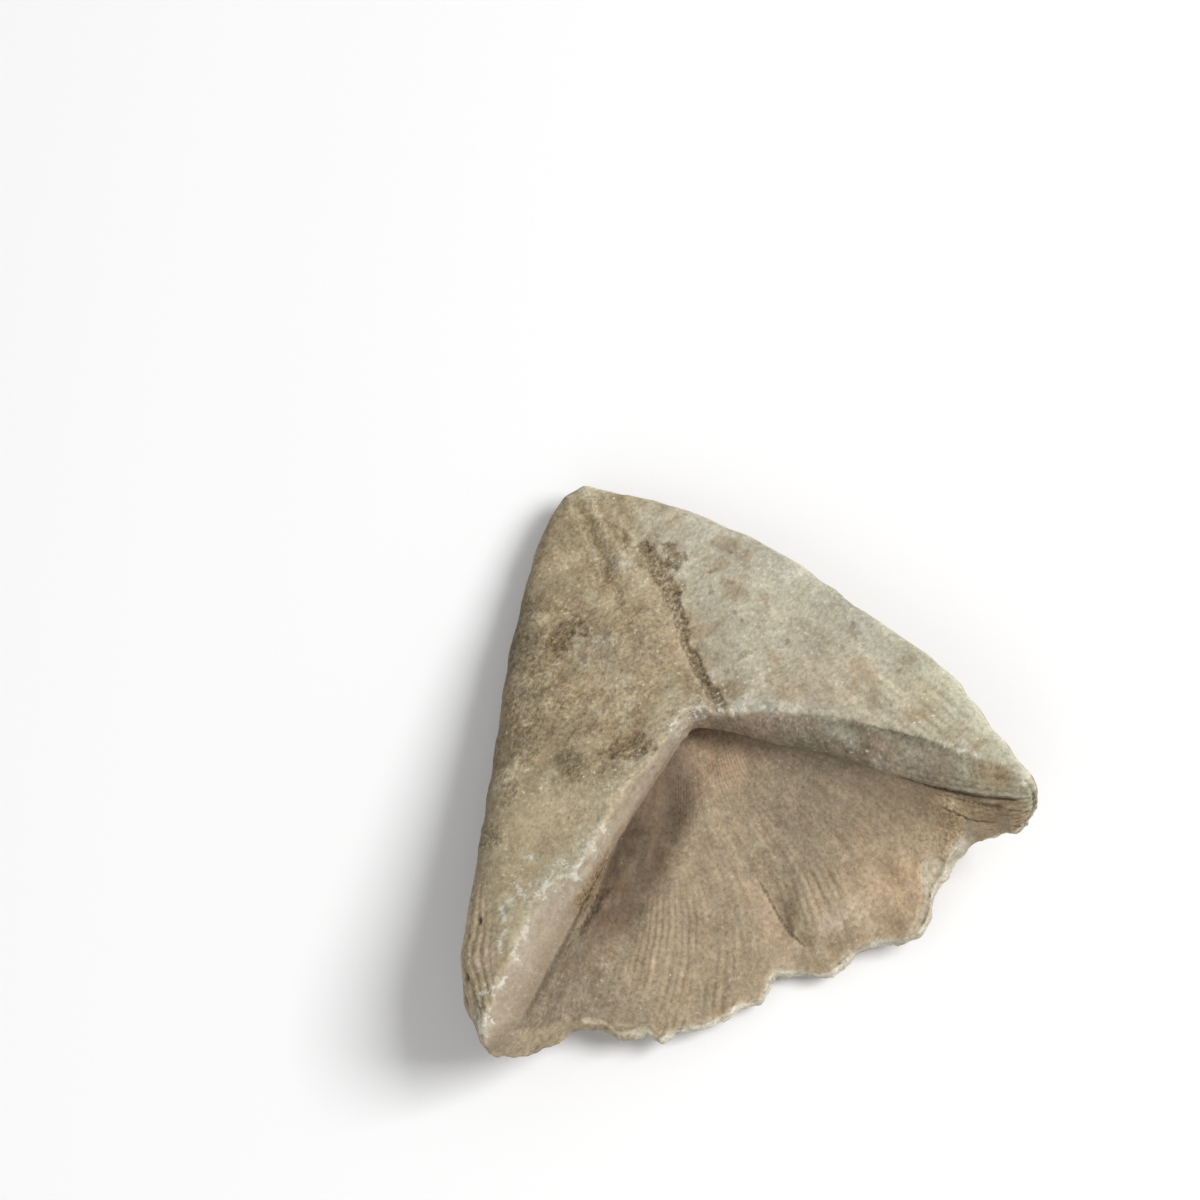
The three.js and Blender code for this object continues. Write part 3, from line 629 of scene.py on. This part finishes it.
def paint_flat_side(colour):
    """Olive brown on the left, paler and greyer to the right of the long furrow, partly painted shade
    and light.
    """
    # Darker olive on the left: partly the stone's own colour, partly painted shade where the side turns
    # away
    olive_and_shaded_left = step(-x - 0.25 * (y - 20) + 2.5 * broad, 1.5, 13) * (0.45 + 0.55 * step(y, 7, 15))
    by_edge = (1 - step(edge_left + 1.5 * broad, 1, 11)) * within(y, (16, 22), (37, 43))
    olive_and_shaded_left = np.maximum(olive_and_shaded_left, by_edge)
    mottled = flat * left_open * (1 - 0.4 * low_left)
    mottle = fractal(at, 2.2, 4, 55)
    pale_patches = step(fractal(at, 4, 3, 52), 0.3, 0.8)
    along_arm = bump(y - top_y - 1.2, 1.6) * step(-x, -2, 1) * (1 - step(-x, 19, 22))
    by_right_edge = step(edge_right + 1.5 * crumb, -5, -1) * step(x, 6, 14)
    above_arm = bump(np.hypot((x - 7.5) / 3.2, y - top_y - 0.8) + 0.2 * crumb, 1)
    warm_spots = step(fractal(at, 2.4, 3, 53), 0.5, 0.85)
    specks = step(fractal(at, 1.0, 2, 56), 0.95, 1.15) * step(x, 4, 7)
    colour = paint(
        colour,
        (OLIVE, flat * clamp(0.8 * olive_and_shaded_left + 0.2 * step(coarse, -0.2, 0.7))),
        (PALE, flat * right_side * (0.8 + 0.2 * step(coarse, -0.3, 0.5))),
        ([0.25, 0.198, 0.125], mottled * 0.35 * step(mottle, 0.0, 0.7)),
        ([0.45, 0.375, 0.265], mottled * 0.5 * step(-mottle, 0.1, 0.8)),
        (PALE, flat * 0.35 * pale_patches),
        ([0.42, 0.375, 0.28], flat * 0.75 * along_arm),
        ([0.42, 0.35, 0.235], flat * 0.7 * spot(-18, 15.5, 5, 6)),
        ([0.42, 0.355, 0.25], flat * 0.6 * spot(-11, 18.2, 4, 1.8)),
        (BLUE, flat * 0.55 * by_right_edge),
        (BLUE, flat * 0.8 * above_arm),
        ([0.33, 0.25, 0.155], flat * 0.6 * warm_spots),
        ([0.24, 0.17, 0.10], flat * 0.7 * specks),
        ([0.46, 0.415, 0.315], 0.4 * apex_ribs * step(rib_wave, 0, 1)),
        ([0.22, 0.175, 0.11], 0.4 * apex_ribs * step(-rib_wave, 0.2, 1)),
        (PALE, flat * 0.7 * step(y + crumb, 46, 48)),
        ([0.40, 0.325, 0.225], flat * 0.6 * spot(13, 19, 5, 3)))
    along_edge = np.stack([(x + 0.42 * y) * 1.3, (0.92 * y - 0.39 * x) * 0.25, 0.1 * z], axis=1)
    colour = lighten(colour, 0.13 * flat * step(x, 9, 15) * fractal(along_edge, 1.0, 3, 69))
    corner = (1 - floor) * spot(-25.7, 2.8, 1.1, 2.2) * step(above_foot, 1, 2)
    return paint(colour, ([0.46, 0.46, 0.385], 0.6 * corner))


def paint_calice(colour):
    """Warm tan, brown and painted shade in the hollow along the left arm, with fine streaks along the
    septa.
    """
    shaded = within(x + coarse, (1.5, 4.5), (9, 14)) * step(y, 4, 8)
    warm_top = step(y + 0.6 * coarse, 15.5, 19.5) * (1 - step(x, 3, 8))
    pale_flakes = floor * spot(6, 3, 3, 1.3) * step(crumb, -0.1, 0.4)
    colour = paint(
        colour,
        (FLOOR, clamp(floor + ceiling)),
        (SHADE, floor * 0.6 * shaded),
        ([0.21, 0.168, 0.112], floor * 0.85 * step(-x + coarse, 9, 17)),
        (WARM, floor * spot(12, 3.5, 5, 4.2, 0.2 * coarse)),
        ([0.30, 0.20, 0.12], floor * 0.6 * round_spot(12, 5, 1.0, 0.7 * crumb)),
        ([0.46, 0.325, 0.215], floor * 0.9 * warm_top),
        # Brown and painted shade in the hollow along the left arm, and a painted shadow right beside
        # the arm
        ([0.22, 0.165, 0.108], 0.7 * brown_and_shade_near_arm),
        ([0.15, 0.115, 0.074], 0.6 * painted_shade_by_foot),
        ([0.14, 0.096, 0.058], 0.9 * brown_and_shade_under_arm),
        ([0.055, 0.036, 0.021], 0.75 * painted_shadow_beside_arm),
        ([0.27, 0.212, 0.14], floor * 0.6 * spot(-6.5, 9, 4, 5) * (1 - brown_and_shade_under_arm)),
        (PINK, fold * 0.9 * bump(fold_side + 1.5, 1.3)),
        # Painted shade on the fold's right bank
        ([0.27, 0.218, 0.142], 0.4 * painted_shade_fold_bank),
        ([0.50, 0.42, 0.325], 0.8 * pale_flakes))
    along_septa = np.stack([septum * 1.1, from_apex * 0.3, 0.1 * z], axis=1)
    colour = lighten(colour, 0.16 * floor * fractal(along_septa, 1.0, 3, 67))
    pebbles = floor * step(fractal(at, 0.9, 2, 68), 0.55, 0.9) * spot(1, 12, 5, 4)
    return paint(colour, ([0.47, 0.40, 0.30], 0.6 * pebbles))


def paint_bevels(colour):
    """Brown steps, with painted shade low on the left one, and darker in patches of the right one."""
    painted_shade_low = 1 - step(above_foot + 0.3 * crumb, 0.4, 1 + 0.7 * step(-x, 7, 12))
    blue_patches = step(fractal(at, 2.5, 3, 54), 0.1, 0.6) * step(x, 8, 14)
    dull = spot(19, 7, 2.6, 2, 0.15 * crumb + 0.1 * coarse)
    colour = paint(
        colour,
        ([0.345, 0.28, 0.205], left_bevel),
        # Painted shade low on the left bevel
        ([0.235, 0.178, 0.115], left_bevel * 0.85 * painted_shade_low),
        ([0.275, 0.21, 0.145], right_bevel),
        ([0.20, 0.165, 0.115], right_bevel * 0.9 * bump(x - 11.5 + coarse, 4)),
        ([0.32, 0.285, 0.205], right_bevel * step(x + coarse, 14.5, 18)),
        (BLUE, right_bevel * 0.45 * blue_patches),
        ([0.215, 0.172, 0.118], right_bevel * 0.8 * dull))
    for cx, cy, reach in TIP_STAINS:
        stained = (right_bevel + flat) * round_spot(cx, cy, reach, 0.2 * crumb)
        colour = paint(colour, ([0.31, 0.235, 0.145], 0.85 * stained))
    olive_streak = bump(y - top_y + 0.5 + 0.2 * crumb, 0.5) * within(x, (11, 14), (20.5, 23))
    foot_streak = bump(above_foot - 0.35, 0.3) * step(x, 18, 22)
    return paint(
        colour,
        ([0.165, 0.15, 0.105], (right_bevel + flat) * 0.85 * olive_streak),
        ([0.45, 0.43, 0.34], right_bevel * foot_streak))


def paint_broken_faces(colour):
    """The broken margin, and the layers in the right arm's broken end."""
    below_top_crack = step(line(LAYER_CRACKS[0], x) - z, -0.1, 0.3)
    below_next_crack = step(line(LAYER_CRACKS[1], x) - z, -0.1, 0.3)
    painted_notch_shade = bump(x - 25.2, 0.8) * bump(z + 4, 0.55)
    layer_rim = step(x, 19.5, 21) * step(-z, 6.4, 7.4) + step(x, 24.2, 24.8) * step(-z, 4.4, 5)
    tip_face = (layered + rim) * step(x, 24.2, 25.2) * step(y, -5, 0)
    pale_margin = bump(to_margin - 0.8, 1) * step(crumb, -0.2, 0.5) * step(x, -14, -9)
    return paint(
        colour,
        ([0.30, 0.24, 0.155], rim),
        ([0.31, 0.245, 0.15], layered),
        ([0.265, 0.195, 0.108], layered * below_top_crack),
        ([0.335, 0.25, 0.15], layered * below_next_crack),
        ([0.58, 0.42, 0.25], floor * 0.9 * spot(18.8, 4.4, 1.8, 1.6)),
        # Painted shade of a notch at the right arm's broken end
        ([0.11, 0.085, 0.055], low * 0.8 * painted_notch_shade),
        ([0.56, 0.52, 0.42], 0.8 * low * edge * layer_rim),
        ([0.40, 0.35, 0.25], tip_face),
        ([0.60, 0.53, 0.40], ledge * 0.85 * step(crumb, -0.9, 0.2)),
        ([0.42, 0.36, 0.26], floor * 0.4 * pale_margin))


def paint_outside(colour):
    """Tan with blue-grey mottling, and a pale thin edge at the margin."""
    broken_face = step(-facing_y, 0.3, 0.7) * step(facing_z, -0.4, 0) * (1 - step(x, 16, 18))
    thin_edge = low * np.maximum(bump(to_margin, 0.22) * (1 - step(x, 18, 20)), broken_face)
    thin_edge = thin_edge * (1 - step(to_margin, 0.3, 0.6)) * step(x, -17, -12)
    return paint(
        colour,
        ([0.30, 0.235, 0.155], arch * (1 - bump(to_margin, 0.5))),
        ([0.16, 0.16, 0.15], arch * 0.8 * step(fractal(at, 6, 3, 81), 0.05, 0.7)),
        ([0.52, 0.49, 0.40], thin_edge * (0.75 + 0.3 * crumb)))


def paint_left_flank(colour):
    """Ribbed and pale, with a pinkish crust."""
    return paint(
        colour,
        ([0.40, 0.325, 0.225], 0.8 * left_flank),
        ([0.47, 0.375, 0.29], left_flank * step(noise(at, 1.6, 66), 0.1, 0.5)),
        ([0.13, 0.10, 0.065], 0.8 * flank_pit))


def paint_dark_places(colour):
    """Worn hollows and furrows, a painted shadow in the gaps at the bevels' foot, and painted shade by
    the left edge.
    """
    uneven = 0.2 * crumb + 0.1 * coarse
    return paint(
        colour,
        ([0.23, 0.165, 0.093], 0.65 * sunk + 0.45 * side_furrow),
        ([0.25, 0.18, 0.105], 0.15 * flat * spot(-5.4, 21.3, 3.3, 1.9, uneven)),
        ([0.205, 0.173, 0.108], 0.7 * flat * spot(-9.4, 21.1, 2.1, 2.3, uneven)),
        # The long furrow is brown, darker towards its right side as painted shade
        ([0.21, 0.155, 0.088], furrow * (0.52 + 0.28 * furrow_side) * (1 - 0.3 * upper)),
        ([0.25, 0.165, 0.085], 0.8 * crumbs_here),
        # Painted shadow in the gap at the foot of the bevels
        ([0.09, 0.065, 0.04], 0.55 * gap_with_painted_shadow),
        # Painted shade by the left edge, where the side turns down
        ([0.15, 0.115, 0.07], (1 - floor) * 0.55 * bump(edge_left - 0.3, 1.3) * step(y, 15, 20)))


def paint_pale_outlines(colour):
    """Pale thin lines along the edges of the flat side, and the frost of fine white crystals."""
    outline = bump(edge_right + 0.15, 0.3) + bump(edge_left - 0.15, 0.35) * step(y, 40, 44)
    outline = outline * step(facing_z, -0.1, 0.3) * (0.8 + 0.4 * crumb)
    return paint(
        colour,
        ([0.56, 0.535, 0.445], 0.75 * outline),
        ([0.50, 0.47, 0.38], 0.4 * frost))


def tone(colour):
    """Broad differences in tone, and painted shade in the hollows, with paler crests."""
    # The left of the flat side and the right arm's tip are a warmer brown
    less_blue = 0.05 * flat * (1 - right_side) * (1 - spot(0.5, 28, 5, 6))
    less_blue += 0.05 * (flat + right_bevel) * step(x, 19, 21)
    colour[:, 2] *= 1 - less_blue
    for cx, cy, reach, redder, lighter in BROAD_TONES:
        here = flat * round_spot(cx, cy, reach, 0.5 * crumb + 0.3 * coarse)
        colour = colour * (1 + here[:, None] * np.array([lighter + redder, lighter, lighter]))
    uneven = 0.08 * crumb + 0.08 * np.clip(grain, -1, 1)
    colour = lighten(colour, 0.08 * coarse + (1 - 0.7 * left_bevel) * uneven)
    # Painted shade in the hollows, and a paler tone on the crests
    colour = colour * np.clip(1 - TONE_BY_BEND * bend, 0.5, 1.12)[:, None]
    return np.clip(colour, 0.01, 0.9)


colour = np.tile(TAN, (len(at), 1))
for paint_zone in (paint_flat_side, paint_calice, paint_bevels, paint_broken_faces, paint_outside,
                   paint_left_flank, paint_dark_places, paint_pale_outlines, tone):
    colour = paint_zone(colour)

# How much each fine marking of the material shows at each point
grit = 1 - 0.5 * left_bevel - 0.25 * floor * step(x, -14, -8) - 0.3 * flat * right_side - 0.3 * low_left
sparkle = flat * (0.65 + 0.3 * step(x + 4 * broad, -4, 6)) + 0.4 * arch
sparkle += 0.5 * right_bevel + 0.2 * left_bevel + 0.25 * floor * (1 - brown_and_shade_near_arm)
layer = fossil.data.color_attributes.new("stone_colour", "FLOAT_COLOR", "POINT")
layer.data.foreach_set("color", np.column_stack([colour, np.ones(len(at))]).ravel())
for name, values in (
        ("grit", grit), ("sparkle", sparkle), ("rough", rough),
        ("frost", frost), ("cracks_and_shadow_lines", cracks_and_shadow_lines), ("vein", vein),
        ("line_phase", line_phase), ("line_depth", line_depth)):
    attribute = fossil.data.attributes.new(name, "FLOAT", "POINT")
    attribute.data.foreach_set("value", values)


def thin_out(obj, is_spare):
    """Takes triangles away down to MOST_TRIANGLES, most of them where the points are spare."""
    spare = obj.vertex_groups.new(name="spare")
    for index in np.flatnonzero(is_spare).tolist():
        spare.add([index], 1.0, "REPLACE")
    thin = obj.modifiers.new("thin", "DECIMATE")
    thin.vertex_group = "spare"
    thin.ratio = MOST_TRIANGLES / (2 * len(obj.data.polygons))
    bake_modifiers(obj)
    obj.vertex_groups.clear()


# The outside and the inside of the pocket are seen less: they give up the triangles
thin_out(fossil, np.maximum(arch, ceiling) > 0.5)
fossil.data.transform(Matrix.Scale(1 / MM_PER_METRE, 4))
smooth_faces(fossil.data)


# Materials. The Mix node has sockets of the same name for each kind of value: these are its colours.
COLOUR_A = 6
COLOUR_B = 7
MIXED_COLOUR = 2


class StoneNodes:
    """Adds nodes to a material. Each method but `connect` returns the new node's output."""

    def __init__(self, material):
        self.nodes = material.node_tree.nodes
        self.links = material.node_tree.links
        self.place = self.nodes.new("ShaderNodeTexCoord").outputs["Object"]

    def connect(self, socket, value):
        """Gives a socket a number, a shade (a tuple) or another node's output."""
        if isinstance(value, (int, float)):
            socket.default_value = value
        elif isinstance(value, tuple):
            socket.default_value = (*value, 1)
        else:
            self.links.new(value, socket)

    def noise(self, size, detail=4.0, rough=0.6):
        """Noise with lumps of the given size, in millimetres."""
        node = self.nodes.new("ShaderNodeTexNoise")
        node.inputs["Scale"].default_value = MM_PER_METRE / size
        node.inputs["Detail"].default_value = detail
        node.inputs["Roughness"].default_value = rough
        self.connect(node.inputs["Vector"], self.place)
        return node.outputs["Fac"]

    def attribute(self, name, output="Fac"):
        node = self.nodes.new("ShaderNodeAttribute")
        node.attribute_name = name
        return node.outputs[output]

    def ramp(self, source, *stops):
        """Turns a value into a grey or a shade; each stop is a position and its grey or shade."""
        node = self.nodes.new("ShaderNodeValToRGB")
        node.color_ramp.elements[0].position = stops[0][0]
        node.color_ramp.elements[1].position = stops[-1][0]
        for position, _ in stops[1:-1]:
            node.color_ramp.elements.new(position)
        for element, (_, shade) in zip(node.color_ramp.elements, stops):
            element.color = (*(shade if isinstance(shade, tuple) else (shade,) * 3), 1)
        self.connect(node.inputs["Fac"], source)
        return node.outputs["Color"]

    def maths(self, kind, a, b=0.0):
        node = self.nodes.new("ShaderNodeMath")
        node.operation = kind
        self.connect(node.inputs[0], a)
        self.connect(node.inputs[1], b)
        return node.outputs["Value"]

    def swing(self, source, amount):
        """Turns noise, which lies around 0.5, into a number around 0."""
        return self.maths("MULTIPLY", self.maths("SUBTRACT", source, 0.5), amount)

    def mix(self, kind, amount, a, b):
        node = self.nodes.new("ShaderNodeMix")
        node.data_type = "RGBA"
        node.blend_type = kind
        self.connect(node.inputs["Factor"], amount)
        self.connect(node.inputs[COLOUR_A], a)
        self.connect(node.inputs[COLOUR_B], b)
        return node.outputs[MIXED_COLOUR]


def stone_material():
    material = bpy.data.materials.new("fossil_stone")
    material.use_nodes = True
    shader = material.node_tree.nodes["Principled BSDF"]
    add = StoneNodes(material)
    grit = add.attribute("grit")
    rough_here = add.attribute("rough")
    line_depth = add.attribute("line_depth")
    grains = add.noise(0.36, 4, 0.66)
    lumps = add.noise(1.3, 6, 0.62)
    crumbs = add.noise(0.42, 4, 0.66)

    # Parallel lines: 0 in the groove between two of them and 1 on the crest, and how grooved it is
    wavy = add.maths("ADD", add.attribute("line_phase"), add.maths("MULTIPLY", add.noise(0.8, 3), 0.22))
    from_groove = add.maths("MULTIPLY", add.maths("PINGPONG", wavy, 0.5), 2.0)
    grooved = add.ramp(from_groove, (0.0, 1.0), (0.25, 0.7), (0.65, 0.0))
    grooved = add.maths("MULTIPLY", grooved, line_depth)

    # Grains, stains, crumbs in the rough places, and the lines
    speckle = add.ramp(grains, (0.27, (0.60, 0.57, 0.53)), (0.5, 1.0), (0.74, (1.38, 1.36, 1.32)))
    stain = add.ramp(lumps, (0.34, (0.86, 0.82, 0.76)), (0.5, 1.0), (0.68, (1.10, 1.12, 1.13)))
    debris = add.ramp(
        crumbs, (0.36, (0.36, 0.31, 0.25)), (0.47, (0.8, 0.77, 0.72)), (0.58, 1.15),
        (0.68, (1.9, 1.8, 1.6)))
    lined = add.ramp(
        from_groove, (0.0, (0.5, 0.46, 0.4)), (0.3, (0.78, 0.75, 0.7)), (0.6, 1.0),
        (1.0, (1.16, 1.15, 1.13)))
    shade = add.mix("MULTIPLY", grit, add.attribute("stone_colour", "Color"), speckle)
    shade = add.mix("MULTIPLY", grit, shade, stain)
    shade = add.mix("MULTIPLY", rough_here, shade, debris)
    shade = add.mix("MULTIPLY", line_depth, shade, lined)

    # Sparkling flecks in clusters
    flecks = add.ramp(add.noise(0.36, 2, 0.5), (0.66, 0.0), (0.72, 1.0))
    clusters = add.ramp(add.noise(4.0, 3, 0.6), (0.45, 0.1), (0.62, 1.0))
    shining = add.maths("MULTIPLY", add.maths("MULTIPLY", flecks, clusters), add.attribute("sparkle"))
    shade = add.mix("MIX", shining, shade, SPARKLE_WHITE)

    # White crystals along the threads of a web, and in wisps
    web = add.maths("ABSOLUTE", add.maths("SUBTRACT", add.noise(1.5, 3, 0.5), 0.5))
    web = add.ramp(web, (0.0, 0.28), (0.07, 0.15))
    frosted = add.maths("MULTIPLY", add.attribute("frost"), web)
    crystals = add.maths("ADD", add.noise(0.55, 6, 0.72), frosted)
    shade = add.mix("MIX", add.ramp(crystals, (0.68, 0.0), (0.74, 0.75)), shade, FROST_WHITE)
    wispy = add.maths("ADD", add.attribute("vein"), add.swing(add.noise(0.6, 6, 0.8), 1.5))
    shade = add.mix("MIX", add.ramp(wispy, (0.0, 0.75), (0.08, 0.5), (0.22, 0.0)), shade, VEIN_WHITE)

    # Thin cracks and painted shadow lines, with ragged sides
    ragged = add.maths("ADD", add.attribute("cracks_and_shadow_lines"), add.swing(crumbs, 0.5))
    cracked_and_shadowed = add.ramp(ragged, (0.0, 1.0), (0.08, 0.85), (0.26, 0.0))
    shade = add.mix("MULTIPLY", cracked_and_shadowed, shade, CRACK_AND_SHADOW_TINT)
    add.connect(shader.inputs["Base Color"], shade)

    # Matt, and a little less so where the grains are dark
    roughness = add.nodes.new("ShaderNodeMapRange")
    roughness.inputs["To Min"].default_value = 0.68
    roughness.inputs["To Max"].default_value = 0.95
    add.connect(roughness.inputs["Value"], grains)
    add.connect(shader.inputs["Roughness"], roughness.outputs["Result"])
    shader.inputs["Specular IOR Level"].default_value = 0.35

    # Fine relief, in millimetres
    height = add.maths("ADD", add.maths("MULTIPLY", grains, 0.1), add.maths("MULTIPLY", lumps, 0.16))
    crumbly = add.maths("MULTIPLY", add.maths("MULTIPLY", crumbs, rough_here), 0.5)
    height = add.maths("ADD", height, crumbly)
    height = add.maths("SUBTRACT", height, add.maths("MULTIPLY", grooved, 0.11))
    height = add.maths("SUBTRACT", height, add.maths("MULTIPLY", cracked_and_shadowed, 0.12))
    bumps = add.nodes.new("ShaderNodeBump")
    bumps.inputs["Strength"].default_value = 1.0
    bumps.inputs["Distance"].default_value = 1 / MM_PER_METRE
    add.connect(bumps.inputs["Height"], height)
    add.connect(shader.inputs["Normal"], bumps.outputs["Normal"])
    return material


def plain_material(name, shade):
    material = bpy.data.materials.new(name)
    material.use_nodes = True
    shader = material.node_tree.nodes["Principled BSDF"]
    shader.inputs["Base Color"].default_value = (*shade, 1)
    shader.inputs["Roughness"].default_value = 0.9
    return material


fossil.data.materials.append(stone_material())
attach(fossil, "root")
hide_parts("slipper_coral")


# Stage, in metres
FLOOR_HALF_WIDTH = 3
CAMERA_ELEVATION = math.radians(70.5)
CAMERA_ROLL = math.radians(-24.2)
CAMERA_DISTANCE = 0.4
HINGE_MIDDLE = Vector((0.00028, -0.02135, 0.01605))
AIM_LEFT_OF_HINGE = 0.0136
AIM_ABOVE_HINGE = 0.02673
KEY_DISTANCE = 0.9


def floor_plane():
    mesh = bpy.data.meshes.new("floor")
    shape = bmesh.new()
    bmesh.ops.create_grid(shape, x_segments=1, y_segments=1, size=FLOOR_HALF_WIDTH)
    shape.to_mesh(mesh)
    shape.free()
    mesh.materials.append(plain_material("floor_white", (0.9, 0.9, 0.9)))
    plane = bpy.data.objects.new("floor", mesh)
    bpy.context.scene.collection.objects.link(plane)
    return plane


def soft_light(name, place, size, power):
    """A square lamp that shines at the middle of the scene."""
    data = bpy.data.lights.new(name, "AREA")
    data.shape = "SQUARE"
    data.size = size
    data.energy = power
    lamp = bpy.data.objects.new(name, data)
    bpy.context.scene.collection.objects.link(lamp)
    lamp.location = place
    lamp.rotation_euler = (-Vector(place)).to_track_quat("-Z", "Y").to_euler()


def bright_world(strength):
    world = bpy.data.worlds.new("studio")
    world.use_nodes = True
    world.node_tree.nodes["Background"].inputs["Color"].default_value = (1, 1, 1, 1)
    world.node_tree.nodes["Background"].inputs["Strength"].default_value = strength
    bpy.context.scene.world = world


floor_plane()

# Camera: the photograph looks down over the mouth, turned a little about its line of sight
back = Vector((0, -math.cos(CAMERA_ELEVATION), math.sin(CAMERA_ELEVATION)))
level = Vector((1, 0, 0))
upright = back.cross(level)
right = level * math.cos(CAMERA_ROLL) + upright * math.sin(CAMERA_ROLL)
up = upright * math.cos(CAMERA_ROLL) - level * math.sin(CAMERA_ROLL)
aim = HINGE_MIDDLE - AIM_LEFT_OF_HINGE * right + AIM_ABOVE_HINGE * up
camera_data = bpy.data.cameras.new("camera")
camera_data.lens = 141.2
camera_data.sensor_width = 36
camera_data.clip_start = 0.01
camera_data.clip_end = 10
camera = bpy.data.objects.new("camera", camera_data)
bpy.context.scene.collection.objects.link(camera)
camera.matrix_world = Matrix((
    (right.x, up.x, back.x, aim.x + back.x * CAMERA_DISTANCE),
    (right.y, up.y, back.y, aim.y + back.y * CAMERA_DISTANCE),
    (right.z, up.z, back.z, aim.z + back.z * CAMERA_DISTANCE),
    (0, 0, 0, 1),
))
bpy.context.scene.camera = camera

key_side = (right * 0.58 + up * 0.27 + back * 0.77).normalized()
soft_light("key", key_side * KEY_DISTANCE, size=0.40, power=7.5)
soft_light("fill", (-0.5, -0.5, 0.7), size=0.8, power=1.2)
bright_world(strength=0.42)
bpy.context.scene.view_settings.view_transform = "Standard"
